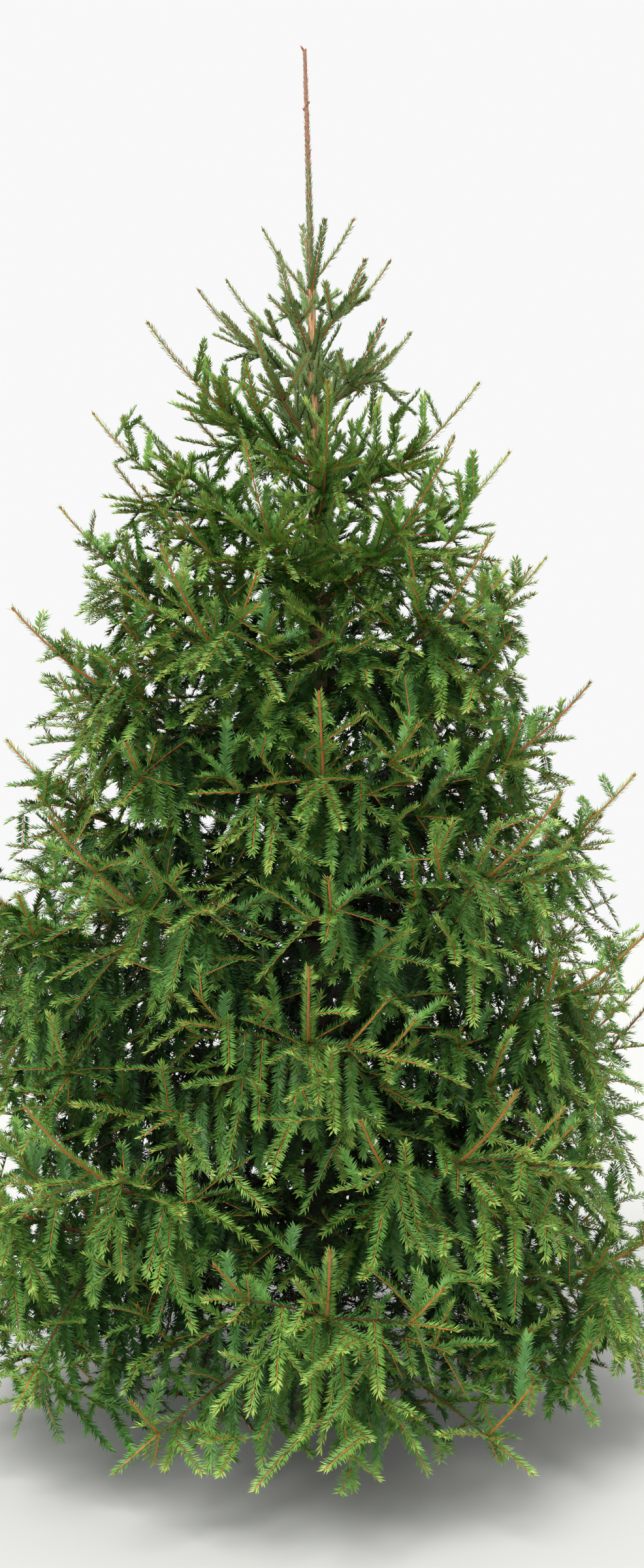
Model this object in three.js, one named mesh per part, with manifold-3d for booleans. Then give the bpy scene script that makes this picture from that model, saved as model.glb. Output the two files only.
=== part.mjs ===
// A young spruce, 3.5 m tall, that stands rooted in level ground.
// Millimetres, +Z up. The tree is looked at from -Y, so an angle of 0 faces the viewer and
// angles grow towards +X. The origin is the middle of the flat cut under the trunk.
// A bough is a limb that grows out of the trunk. Its outer part carries the foliage: laterals,
// which fork off it left and right, and shoots, which fork off the laterals.

import * as THREE from "three";
import { mergeVertices } from "three/addons/utils/BufferGeometryUtils.js";
import Module from "manifold-3d";

const wasm = await Module();
wasm.setup();

// Driving dimensions
const treeHeight = 3505;
const seed = 7;
const clearance = 0.3; // between two pieces that meet
const spaceMargin = 4; // kept free on each side of the border between two masses
const detail = 0.25; // faces may move this far when small ones are merged
const groundGap = 150; // the lowest twigs hang this far above the ground

const trunk = {
  lean: -40, // sideways at the tip
  sway: 10, // towards the viewer at half height
  stemRadius: 41.5, // of the wood below the leader
  stemTop: 2950,
  taper: 0.85,
  leaderRadius: 7,
  leaderFoot: 2900,
  tipRadius: 2.2,
  budRadius: 3.6,
  budLength: 12,
  flare: 26,
  flareHeight: 48,
  rootLobes: 5,
  lobeDepth: 0.16,
  sides: 14,
};

const limb = { sides: 5, rings: 4, collar: 34, swelling: 0.5 };
const leaderNeedles = { count: 34, from: 2965, to: 3470, length: 17, radius: 1.5, lift: 65 };

// Whorls from the lowest to the top one. A bough climbs by slope and hook: its height above its
// foot is reach * (slope * u + hook * u^3) at u = 0 to 1. It forks from u = bare to u = forked,
// at as many places as forks says, and its last shoot is unforked. Laterals start with
// lateralRise as the upward part of their direction and end lateralBend of their length higher
// or lower. The boughs of a whorl start lower and higher by up to spread, like steps round the
// trunk. Headroom is the whorl's share of the height that is left to the whorl above it. Hang
// and climb size the laterals below and above the bough.
const whorls = [
  {
    height: 480, spread: 60, headroom: 0.16, reach: 1040, slope: -0.2, hook: 0.41,
    bare: 0.26, forked: 0.74, forks: 9, limbRadius: 12.5, tipRadius: 3.4,
    lateralRise: 0.04, lateralBend: -0.18, shootRise: -2.4, shootBend: -0.16,
    hang: 1, climb: 0, angles: [1, 66, 140, 216, 294],
  },
  {
    height: 800, spread: 110, headroom: 0.14, reach: 1000, slope: -0.15, hook: 0.41,
    bare: 0.14, forked: 0.74, forks: 11, limbRadius: 12.2, tipRadius: 3.4,
    lateralRise: 0.05, lateralBend: -0.18, shootRise: -2.4, shootBend: -0.15,
    hang: 1, climb: 0, angles: [-38, 26, 104, 178, 250],
  },
  {
    height: 1080, spread: 110, headroom: 0.14, reach: 930, slope: -0.1, hook: 0.4,
    bare: 0.14, forked: 0.73, forks: 11, limbRadius: 11.8, tipRadius: 3.4,
    lateralRise: 0.06, lateralBend: -0.16, shootRise: -2.3, shootBend: -0.14,
    hang: 1, climb: 0, angles: [-4, 62, 138, 212, 286],
  },
  {
    height: 1340, spread: 110, headroom: 0.14, reach: 855, slope: -0.05, hook: 0.39,
    bare: 0.14, forked: 0.72, forks: 11, limbRadius: 11.2, tipRadius: 3.2,
    lateralRise: 0.08, lateralBend: -0.14, shootRise: -2.1, shootBend: -0.12,
    hang: 1, climb: 0, angles: [-36, 36, 102, 174, 252],
  },
  {
    height: 1620, spread: 110, headroom: 0.16, reach: 765, slope: 0.03, hook: 0.38,
    bare: 0.14, forked: 0.7, forks: 11, limbRadius: 10.5, tipRadius: 3.1,
    lateralRise: 0.1, lateralBend: -0.12, shootRise: -1.6, shootBend: -0.1,
    hang: 1, climb: 0, angles: [4, 74, 142, 214, 290],
  },
  {
    height: 1900, spread: 100, headroom: 0.22, reach: 670, slope: 0.14, hook: 0.36,
    bare: 0.14, forked: 0.66, forks: 9, limbRadius: 9.6, tipRadius: 3,
    lateralRise: 0.14, lateralBend: -0.08, shootRise: -0.9, shootBend: -0.06,
    hang: 0.95, climb: 0, angles: [-33, 38, 108, 180, 254],
  },
  {
    height: 2140, spread: 90, headroom: 0.3, reach: 550, slope: 0.28, hook: 0.34,
    bare: 0.14, forked: 0.61, forks: 8, limbRadius: 8.6, tipRadius: 2.8,
    lateralRise: 0.2, lateralBend: 0, shootRise: -0.1, shootBend: 0,
    hang: 0.7, climb: 0.6, angles: [-20, 34, 106, 178, 256],
  },
  {
    height: 2360, spread: 80, headroom: 0.36, reach: 425, slope: 0.42, hook: 0.31,
    bare: 0.15, forked: 0.56, forks: 8, limbRadius: 7.6, tipRadius: 2.7,
    lateralRise: 0.28, lateralBend: 0.04, shootRise: 0.1, shootBend: 0.04,
    hang: 0.5, climb: 0.6, angles: [8, 78, 152, 224, 296],
  },
  {
    height: 2560, spread: 70, headroom: 0.44, reach: 285, slope: 0.55, hook: 0.3,
    bare: 0.18, forked: 0.5, forks: 5, limbRadius: 6.4, tipRadius: 2.6,
    lateralRise: 0.36, lateralBend: 0.06, shootRise: 0.2, shootBend: 0.06,
    hang: 0, climb: 0.6, angles: [-34, 40, 112, 186, 258],
  },
  {
    height: 2735, spread: 50, headroom: 0.55, reach: 205, slope: 0.6, hook: 0.34,
    bare: 0.3, forked: 0.3, forks: 1, limbRadius: 5, tipRadius: 2.4,
    lateralRise: 0.34, lateralBend: 0.08, shootRise: 0.1, shootBend: 0.04,
    hang: 0, climb: 0, angles: [-82, -24, 36, 92, 186],
  },
  {
    height: 2885, spread: 24, headroom: 1, reach: 112, slope: 1.2, hook: 0.25,
    bare: 0.2, forked: 0.2, forks: 0, limbRadius: 4, tipRadius: 2.2,
    lateralRise: 0.3, lateralBend: 0, shootRise: 0.1, shootBend: 0,
    hang: 0, climb: 0, angles: [-86, 14, 78, 188],
  },
];

const limbWhorls = 1; // the lowest whorl has bare inner limbs, and higher up the foliage starts at the trunk
const variation = { height: 0.25, reach: 0.05, slope: 0.05, sway: 0.07, tilt: 0.2 };
const rightShare = 0.07; // boughs to the right are this share shorter, and those to the left longer
const edgeReach = 1.2; // a bough's height is followed this far out, and stays level beyond it
const mainEvery = 4; // every fourth fork of a bough has a long lateral, and the solids leave out the others
const shootEvery = 2; // and they leave out every second pair of shoots on a lateral

// Laterals fork off a bough from gap past its bare part. Their lengths are shares of the bough's
// reach, their spread is in degrees, and the vary values are the most that each one differs by.
// To the sides they grow in two layers: whether one grows in the lower layer changes at every
// multiple of each number in layerTurns, and layerDrop is the lower layer's downward part.
const layerTurns = [2, 4];
const lateralRule = {
  gap: 24, tipLength: 0.1, innerLength: 0.78, innerSpread: 44, tipSpread: 60, shortest: 60, shorten: 0.85,
  placeVary: 0.3, lengthVary: 0.14, spreadVary: 0.12, riseVary: 0.12, bendVary: 0.3, sideVary: 1.2,
  bendOut: 1.4, ribShare: 0.011, rib: 2.4, layerDrop: 0.5, layerReach: 1.2,
};
const rows = [
  { name: "left", side: 1, rise: 0, from: 0, until: 1 },
  { name: "right", side: -1, rise: 0, from: 0, until: 1 },
  { name: "hang", side: 0, rise: -1.15, from: 0, until: 0.9 },
  { name: "climb", side: 0, rise: 0.85, from: 0.1, until: 0.9 },
];
// Shoots fork off a lateral from v = from up to its own last shoot, which is lastShoot long. Their
// lengths are whole on laterals of fullLateral and longer, and shorter by its share on others.
const shootRule = {
  from: 0.1, lastShoot: 115, least: 0.35, spacing: 60, tipLength: 130, innerLength: 200, fullLateral: 300,
  spread: 52, lengthVary: 0.16, riseVary: 0.12, riseOut: 1.5,
};
const stemDetail = 7; // straight pieces in a bough's stem, for each full reach
const needleSpan = { place: 0.4, width: 16, height: 4 }; // half the size of the blade that a last shoot makes
const barkColour = 0x6b4a34;
const barkRoughness = 0.9;
const needleRoughness = 0.6;
const foliageColours = [0x2f5d2a, 0x3b6e2f, 0x467a33];

// A repeatable number from -1 to 1 for each pair of whole numbers, the same in every run.
function shake(key, channel) {
  const wave = Math.sin(key * 12.9898 + channel * 78.233 + seed * 37.719) * 43758.5453;
  return 2 * (wave - Math.floor(wave)) - 1;
}

function mix(a, b, share) {
  return a + (b - a) * share;
}

const radians = THREE.MathUtils.degToRad;

// The middle of the trunk at a height.
function trunkCentre(z) {
  const share = z / treeHeight;
  return new THREE.Vector3(trunk.lean * share ** 3, -trunk.sway * Math.sin(Math.PI * share), z);
}

// The trunk's radius at a height: wood that tapers to the foot of the leader, and the leader above.
function trunkRadius(z) {
  const wood = trunk.stemRadius * Math.max(0, 1 - z / trunk.stemTop) ** trunk.taper;
  const along = Math.max(0, (z - trunk.leaderFoot) / (treeHeight - trunk.budLength - trunk.leaderFoot));
  return wood + mix(trunk.leaderRadius, trunk.tipRadius, Math.min(1, along));
}

// Each bough is a copy of its whorl's shape with its own small differences.
function boughsOf(whorl, level) {
  const wrap = (angle) => ((angle % 360) + 360) % 360;
  const count = whorl.angles.length;
  return whorl.angles.map((angle, index) => {
    const key = level * 10 + index + 1;
    const step = (2 * index) / (count - 1) - 1;
    return {
      level,
      whorl,
      key,
      name: `${level + 1}${"abcde"[index]}`,
      angle: radians(angle),
      roomAfter: radians(wrap(whorl.angles[(index + 1) % count] - angle)) / 2,
      roomBefore: radians(wrap(angle - whorl.angles[(index + count - 1) % count])) / 2,
      height: whorl.height + whorl.spread * (step + variation.height * shake(key, 1)),
      reach: whorl.reach * (1 + variation.reach * shake(key, 2) - rightShare * Math.sin(radians(angle))),
      slope: whorl.slope + variation.slope * shake(key, 3),
      sway: variation.sway * shake(key, 4),
      tilt: variation.tilt * shake(key, 13), // lifts the laterals of one side and lowers the other side's
    };
  });
}

const boughs = whorls.map(boughsOf);

// A point on a bough's middle line, u = 0 at the trunk's axis and 1 at the bough's tip.
function boughPoint(bough, u) {
  const foot = trunkCentre(bough.height);
  const out = new THREE.Vector3(Math.sin(bough.angle), -Math.cos(bough.angle), 0);
  const side = new THREE.Vector3(-out.y, out.x, 0);
  const rise = bough.slope * u + bough.whorl.hook * u ** 3;
  return foot
    .addScaledVector(out, bough.reach * u)
    .addScaledVector(side, bough.reach * bough.sway * u * u)
    .add(new THREE.Vector3(0, 0, bough.reach * rise));
}

function boughTangent(bough, u) {
  const step = 1e-3;
  return boughPoint(bough, u + step).sub(boughPoint(bough, u - step)).normalize();
}

function boughRadius(bough, u) {
  return mix(bough.whorl.limbRadius, bough.whorl.tipRadius, u);
}

// How far a direction lies from a bough's, and how far from the middle between it and the next.
function roomIn(bough, angle) {
  const turn = angle - bough.angle;
  const off = Math.atan2(Math.sin(turn), Math.cos(turn));
  return off > 0 ? bough.roomAfter - off : bough.roomBefore + off;
}

// The height of a whorl's bough in a direction, at a distance from the trunk.
function heightAt(level, angle, radius) {
  const bough = boughs[level].find((one) => roomIn(one, angle) >= 0) ?? boughs[level][0];
  const u = Math.min(edgeReach, radius / bough.reach);
  return bough.height + bough.reach * (bough.slope * u + bough.whorl.hook * u ** 3);
}

// The border between a whorl and the one above it.
function borderHeight(level, angle, radius) {
  if (level < 0) return groundGap - spaceMargin;
  if (level === whorls.length - 1) return Infinity;
  return mix(heightAt(level, angle, radius), heightAt(level + 1, angle, radius), whorls[level].headroom);
}

// True where a point lies in the space that a bough and its foliage keep to: the slice between
// its neighbours in the whorl, above the whorl below and under the whorl above.
function inSpace(bough, point) {
  const centre = trunkCentre(point.z);
  const radius = Math.hypot(point.x - centre.x, point.y - centre.y);
  const angle = Math.atan2(point.x - centre.x, centre.y - point.y);
  return (
    radius * Math.sin(Math.min(roomIn(bough, angle), Math.PI / 2)) > spaceMargin &&
    point.z > borderHeight(bough.level - 1, angle, radius) + spaceMargin &&
    point.z < borderHeight(bough.level, angle, radius) - spaceMargin
  );
}

// A twig is a curve: start + length * (v * direction + v^2 * bend upwards), v = 0 to 1.
function twigPoint(twig, v) {
  const point = twig.start.clone().addScaledVector(twig.direction, twig.length * v);
  point.z += twig.length * twig.bend * v * v;
  return point;
}

function twigTangent(twig, v) {
  const tangent = twig.direction.clone();
  tangent.z += 2 * twig.bend * v;
  return tangent.normalize();
}

// A level direction to the left of a tangent.
function leftOf(tangent) {
  return new THREE.Vector3(-tangent.y, tangent.x, 0).normalize();
}

// The direction of a twig that forks off at an angle and rises by a share of its length.
function forkDirection(tangent, side, spread, rise) {
  return tangent
    .clone()
    .multiplyScalar(Math.cos(spread))
    .addScaledVector(leftOf(tangent), side * Math.sin(spread))
    .add(new THREE.Vector3(0, 0, rise))
    .normalize();
}

// Lateral number index in a row of a bough: to the left, to the right, hanging or climbing.
function lateralOf(bough, index, row) {
  const { whorl } = bough;
  const { name, side, rise } = rows[row];
  const key = bough.key * 100 + row * 25 + index;
  const first = whorl.bare + lateralRule.gap / bough.reach;
  const place = Math.max(0, index + lateralRule.placeVary * shake(key, 5)) / Math.max(1, whorl.forks - 1);
  const u = mix(first, whorl.forked, place);
  const sideways = side || lateralRule.sideVary * shake(key, 12);
  const spread = mix(lateralRule.innerSpread, lateralRule.tipSpread, u);
  const turns = layerTurns.reduce((sum, turn) => sum + Math.floor(index / turn), 0);
  const isLower = side !== 0 && turns % 2 === 1;
  const drop = isLower ? lateralRule.layerDrop * (lateralRule.layerReach - u) : 0;
  const size = (whorl[name] ?? 1) * (lateralRule.tipLength + lateralRule.innerLength * (1 - u));
  return {
    key,
    u,
    start: boughPoint(bough, u),
    direction: forkDirection(
      boughTangent(bough, u),
      sideways,
      radians(spread * (1 + lateralRule.spreadVary * shake(key, 6))),
      whorl.lateralRise + rise - drop + side * bough.tilt + lateralRule.riseVary * shake(key, 7),
    ),
    length: bough.reach * size * (1 + lateralRule.lengthVary * shake(key, 8)),
    bend: whorl.lateralBend * (1 + lateralRule.bendVary * shake(key, 9)) * (lateralRule.bendOut - u),
  };
}

// How many forks a lateral has, and how far out they are.
function forksOf(lateral) {
  const until = Math.max(shootRule.least, 1 - shootRule.lastShoot / lateral.length);
  const forked = lateral.length * (until - shootRule.from);
  const count = shootEvery * Math.max(1, Math.round(forked / shootRule.spacing / shootEvery));
  return { count, placeOf: (index) => mix(shootRule.from, until, index / count) };
}

// Shoot number index on one side of a lateral, where it forks at v.
function shootOf(bough, lateral, index, v, side) {
  const { whorl } = bough;
  const key = lateral.key * 100 + index * 2 + (side > 0 ? 1 : 0);
  const size = Math.min(1, lateral.length / shootRule.fullLateral);
  const length = mix(shootRule.innerLength, shootRule.tipLength, v);
  return {
    start: twigPoint(lateral, v),
    direction: forkDirection(
      twigTangent(lateral, v),
      side,
      radians(shootRule.spread),
      whorl.shootRise * (shootRule.riseOut - lateral.u) + shootRule.riseVary * shake(key, 10),
    ),
    length: size * length * (1 + shootRule.lengthVary * shake(key, 11)),
    bend: whorl.shootBend,
  };
}

// A mesh's triangles as a solid that can be joined and cut.
function solidOf(geometry) {
  geometry.deleteAttribute("normal");
  geometry.deleteAttribute("uv");
  const merged = mergeVertices(geometry, 1e-4);
  return new wasm.Manifold(
    new wasm.Mesh({
      numProp: 3,
      vertProperties: new Float32Array(merged.attributes.position.array),
      triVerts: new Uint32Array(merged.index.array),
    }),
  );
}

// The largest body of a solid, as geometry: loose scraps and sealed hollows are dropped, and
// the small faces that joining leaves are merged.
function geometryOf(solid) {
  const bodies = solid.asOriginal().simplify(detail).decompose().sort((a, b) => b.volume() - a.volume());
  const mesh = bodies[0].getMesh();
  const positions = new Float32Array(mesh.numVert * 3);
  for (let i = 0; i < mesh.numVert; i++) {
    positions.set(mesh.vertProperties.subarray(i * mesh.numProp, i * mesh.numProp + 3), i * 3);
  }
  return new THREE.BufferGeometry()
    .setAttribute("position", new THREE.BufferAttribute(positions, 3))
    .setIndex(new THREE.BufferAttribute(mesh.triVerts, 1));
}

// A closed cylinder whose rings are moved along a path: place(v, angle) gives each ring's points.
function bentCylinder(sides, rings, place, middle) {
  const geometry = new THREE.CylinderGeometry(1, 1, 1, sides, rings);
  const position = geometry.attributes.position;
  for (let i = 0; i < position.count; i++) {
    const v = position.getY(i) + 0.5;
    const onAxis = Math.hypot(position.getX(i), position.getZ(i)) < 0.5;
    const angle = Math.atan2(position.getX(i), position.getZ(i));
    const point = onAxis ? middle(v) : place(v, angle);
    position.setXYZ(i, point.x, point.y, point.z);
  }
  return geometry;
}

// The trunk's surface, grown by extra: close rings in the root flare and at the tip.
function trunkGeometry(extra) {
  const flareRings = [0, 18, 45, 90, 170, 320];
  const budPoint = 0.9;
  const budRings = [
    [treeHeight - trunk.budLength, trunk.tipRadius],
    [treeHeight - trunk.budLength * 0.6, trunk.budRadius],
    [treeHeight, budPoint],
  ];
  const stemRings = 12;
  const leaderRings = [3100, 3300];
  const heights = [...flareRings];
  for (let i = 1; i <= stemRings; i++) heights.push(mix(flareRings.at(-1), trunk.leaderFoot, i / stemRings));
  heights.push(...leaderRings, ...budRings.map(([height]) => height));
  const radiusAt = (ring) => {
    const bud = ring - (heights.length - budRings.length);
    return bud < 0 ? trunkRadius(heights[ring]) : budRings[bud][1];
  };
  const rings = heights.length - 1;
  return bentCylinder(
    trunk.sides,
    rings,
    (v, angle) => {
      const ring = Math.round(v * rings);
      const z = heights[ring];
      const low = Math.exp(-z / trunk.flareHeight);
      const lobes = 1 + trunk.lobeDepth * low * Math.cos(trunk.rootLobes * angle);
      const radius = (radiusAt(ring) + trunk.flare * low) * lobes + extra;
      return trunkCentre(z).add(new THREE.Vector3(radius * Math.sin(angle), -radius * Math.cos(angle), 0));
    },
    (v) => trunkCentre(heights[Math.round(v * rings)]),
  );
}

// The needles that lie along the leader: three-sided spikes set in a spiral.
function leaderSpikes() {
  const goldenAngle = radians(137.5);
  return Array.from({ length: leaderNeedles.count }, (_, i) => {
    const z = mix(leaderNeedles.from, leaderNeedles.to, i / (leaderNeedles.count - 1));
    const spike = new THREE.ConeGeometry(leaderNeedles.radius, leaderNeedles.length, 3);
    spike.translate(0, leaderNeedles.length / 2, 0);
    spike.rotateX(radians(180 - leaderNeedles.lift));
    spike.translate(0, -(trunkRadius(z) - leaderNeedles.radius), 0);
    spike.rotateZ(i * goldenAngle);
    const centre = trunkCentre(z);
    spike.translate(centre.x, centre.y, centre.z);
    return solidOf(spike);
  });
}

function trunkSolid() {
  return wasm.Manifold.union([solidOf(trunkGeometry(0)), ...leaderSpikes()]);
}

const trunkCutter = solidOf(trunkGeometry(clearance));

// A bare limb: five-sided, thickened into a collar at the trunk and cut to the trunk's surface.
function limbGeometry(bough) {
  const { sides, rings, collar, swelling } = limb;
  const frameAt = (v) => {
    const u = bough.whorl.bare * v;
    const tangent = boughTangent(bough, u);
    const side = leftOf(tangent);
    const clear = Math.max(0, bough.reach * u - trunkRadius(bough.height));
    const radius = boughRadius(bough, u) * (1 + swelling * Math.exp(-clear / collar));
    return { centre: boughPoint(bough, u), side, up: tangent.clone().cross(side), radius };
  };
  const tube = bentCylinder(
    sides,
    rings,
    (v, angle) => {
      const { centre, side, up, radius } = frameAt(v);
      centre.addScaledVector(up, radius * Math.sin(angle));
      return centre.addScaledVector(side, radius * Math.cos(angle));
    },
    (v) => frameAt(v).centre,
  );
  return geometryOf(solidOf(tube).subtract(trunkCutter));
}

// A spray: a rib of three-sided section through stations, with a flat tooth to the left or right
// between two stations where one is given, and a pointed tip.
function sprayGeometry(stations, tip) {
  const points = [];
  const faces = [];
  const add = (point) => points.push(point) - 1;
  const rib = stations.map(({ centre, tangent, width, height }) => {
    const left = leftOf(tangent);
    const up = tangent.clone().cross(left).normalize();
    const high = centre.clone().addScaledVector(up, height / 2);
    return {
      bottom: add(centre.clone().addScaledVector(up, -height)),
      left: add(high.clone().addScaledVector(left, width)),
      right: add(high.clone().addScaledVector(left, -width)),
    };
  });
  faces.push([rib[0].left, rib[0].bottom, rib[0].right]);
  for (let j = 0; j + 1 < rib.length; j++) {
    const a = rib[j];
    const b = rib[j + 1];
    const { leftTooth, rightTooth } = stations[j];
    faces.push([a.right, b.right, b.left], [a.right, b.left, a.left]);
    faces.push([a.bottom, b.left, b.bottom], [a.bottom, b.bottom, b.right]);
    if (leftTooth) {
      const tooth = add(leftTooth);
      faces.push([a.bottom, a.left, tooth], [a.bottom, tooth, b.left], [a.left, b.left, tooth]);
    } else faces.push([a.bottom, a.left, b.left]);
    if (rightTooth) {
      const tooth = add(rightTooth);
      faces.push([a.bottom, b.right, tooth], [a.bottom, tooth, a.right], [b.right, a.right, tooth]);
    } else faces.push([a.bottom, b.right, a.right]);
  }
  const last = rib.at(-1);
  const end = add(tip);
  faces.push([last.left, last.right, end], [last.bottom, last.left, end], [last.right, last.bottom, end]);
  return new THREE.BufferGeometry().setFromPoints(points).setIndex(faces.flat());
}

// The last, unforked shoot of a twig widens to the span of its needles.
function widestStation(pointAt, tangentAt, from) {
  const v = mix(from, 1, needleSpan.place);
  return { centre: pointAt(v), tangent: tangentAt(v), ...needleSpan };
}

// A lateral with its main shoots as teeth, shortened until it stays in its bough's space.
function lateralSolid(bough, lateral) {
  const fits = () => [0.25, 0.5, 0.75, 1].every((v) => inSpace(bough, twigPoint(lateral, v)));
  while (!fits() && lateral.length > lateralRule.shortest) lateral.length *= lateralRule.shorten;
  if (lateral.length <= lateralRule.shortest) return null;
  const { count, placeOf } = forksOf(lateral);
  const half = Math.max(lateralRule.rib, lateral.length * lateralRule.ribShare);
  const pointAt = (v) => twigPoint(lateral, v);
  const tangentAt = (v) => twigTangent(lateral, v);
  const station = (v) => ({ centre: pointAt(v), tangent: tangentAt(v), width: half, height: half });
  const toothTip = (index, side) => {
    const shoot = shootOf(bough, lateral, index, placeOf(index), side);
    const inside = [0.5, 1].every((v) => inSpace(bough, twigPoint(shoot, v)));
    return inside ? twigPoint(shoot, 1) : undefined;
  };
  const stations = [station(0)];
  for (let index = 0; index < count; index += shootEvery) {
    const teeth = { leftTooth: toothTip(index, 1), rightTooth: toothTip(index, -1) };
    stations.push({ ...station(placeOf(index)), ...teeth });
  }
  stations.push(widestStation(pointAt, tangentAt, placeOf(count)));
  return solidOf(sprayGeometry(stations, pointAt(1)));
}

// The bough itself, from where its foliage starts.
function stemSolid(bough, from) {
  const plain = Math.ceil((bough.whorl.forked - from) * stemDetail);
  const pointAt = (u) => boughPoint(bough, u);
  const tangentAt = (u) => boughTangent(bough, u);
  const stations = Array.from({ length: plain + 1 }, (_, i) => {
    const u = mix(from, bough.whorl.forked, i / plain);
    const half = boughRadius(bough, u);
    return { centre: pointAt(u), tangent: tangentAt(u), width: half, height: half };
  });
  stations.push(widestStation(pointAt, tangentAt, bough.whorl.forked));
  return solidOf(sprayGeometry(stations, pointAt(1)));
}

function foliageGeometry(bough) {
  const { whorl, level } = bough;
  const hasLimb = level < limbWhorls;
  const sprays = [stemSolid(bough, hasLimb ? whorl.bare + clearance / bough.reach : 0)];
  rows.forEach(({ name, from, until }, row) => {
    if (whorl[name] === 0) return;
    for (let index = 0; index < whorl.forks; index += mainEvery) {
      const lateral = lateralOf(bough, index, row);
      const spray = lateral.u > from && lateral.u < until && lateralSolid(bough, lateral);
      if (spray) sprays.push(spray);
    }
  });
  const mass = wasm.Manifold.union(sprays);
  return geometryOf(hasLimb ? mass : mass.subtract(trunkCutter));
}

function pieceMesh(name, geometry, colour, roughness) {
  const material = new THREE.MeshStandardMaterial({ color: colour, roughness, metalness: 0 });
  const mesh = new THREE.Mesh(geometry, material);
  mesh.name = name;
  return mesh;
}

const tree = new THREE.Group();
tree.add(pieceMesh("trunk", geometryOf(trunkSolid()), barkColour, barkRoughness));
for (const bough of boughs.flat()) {
  if (bough.level < limbWhorls) {
    tree.add(pieceMesh(`bough_${bough.name}`, limbGeometry(bough), barkColour, barkRoughness));
  }
  const colour = foliageColours[bough.key % foliageColours.length];
  tree.add(pieceMesh(`foliage_${bough.name}`, foliageGeometry(bough), colour, needleRoughness));
}

export default tree;
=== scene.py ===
import math
from types import SimpleNamespace
import bpy
import numpy as np
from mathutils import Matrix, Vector


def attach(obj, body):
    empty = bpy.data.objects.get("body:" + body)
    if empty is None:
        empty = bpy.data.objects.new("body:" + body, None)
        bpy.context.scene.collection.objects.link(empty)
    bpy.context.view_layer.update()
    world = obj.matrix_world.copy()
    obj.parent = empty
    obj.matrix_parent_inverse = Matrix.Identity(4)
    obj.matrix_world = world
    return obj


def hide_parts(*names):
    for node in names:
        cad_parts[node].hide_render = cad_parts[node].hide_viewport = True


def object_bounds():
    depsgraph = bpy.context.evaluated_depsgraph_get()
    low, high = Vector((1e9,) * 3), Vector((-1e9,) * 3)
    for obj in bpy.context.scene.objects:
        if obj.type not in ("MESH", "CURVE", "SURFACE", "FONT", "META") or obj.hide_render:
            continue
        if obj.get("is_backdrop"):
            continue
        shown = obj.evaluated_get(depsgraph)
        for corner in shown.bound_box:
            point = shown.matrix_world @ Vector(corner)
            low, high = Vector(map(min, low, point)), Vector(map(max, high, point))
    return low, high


# A young spruce, 3.5 m tall. The trunk, boughs, laterals and shoots grow by the rule of the solids,
# carried on to finer shoots, and carry bark, buds and needles. Metres, +Z up, seen from -Y.

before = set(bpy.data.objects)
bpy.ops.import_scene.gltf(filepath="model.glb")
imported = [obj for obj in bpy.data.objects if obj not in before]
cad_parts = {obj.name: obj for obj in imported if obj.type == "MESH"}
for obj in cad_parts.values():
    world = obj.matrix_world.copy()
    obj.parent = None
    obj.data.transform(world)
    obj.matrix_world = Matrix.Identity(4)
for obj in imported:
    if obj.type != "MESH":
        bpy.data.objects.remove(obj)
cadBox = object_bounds()
print("frame loaded:", len(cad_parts), "nodes")

# Maths helpers

upward = np.array((0.0, 0.0, 1.0))
goldenTurn = 137.5


def mix(a, b, share):
    return a + (b - a) * share


def unit(vectors):
    return vectors / np.maximum(np.linalg.norm(vectors, axis=-1, keepdims=True), 1e-12)


# 0 before low, 1 after high and an S-curve between them
def smoothStep(low, high, value):
    share = np.clip((value - low) / (high - low), 0, 1)
    return share * share * (3 - 2 * share)


# The level direction at angles round the trunk: 0 is the front, and 90 degrees the right
def outwardAt(turn):
    return np.stack([np.sin(turn), -np.cos(turn), 0 * turn], axis=-1)


# A random number from -1 to 1 for each item
def scatter(random, size):
    return random.random(size) * 2 - 1


# The growth rule, with the sizes of the solids

growth = {
    "seed": 7, "spaceMargin": 0.004, "groundGap": 0.15, "edgeReach": 1.2, "limbWhorls": 1,
    "mainEvery": 4, "shootEvery": 2, "upperWhorls": (3.5, 6.5),
}
trunk = {
    "height": 3.505, "lean": -0.04, "sway": 0.01, "stemRadius": 0.0415, "stemTop": 2.95, "taper": 0.85,
    "leaderRadius": 0.007, "leaderFoot": 2.9, "tipRadius": 0.0022, "budLength": 0.012,
    "flare": 0.026, "flareHeight": 0.048, "rootLobes": 5, "lobeDepth": 0.16,
}
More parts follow.
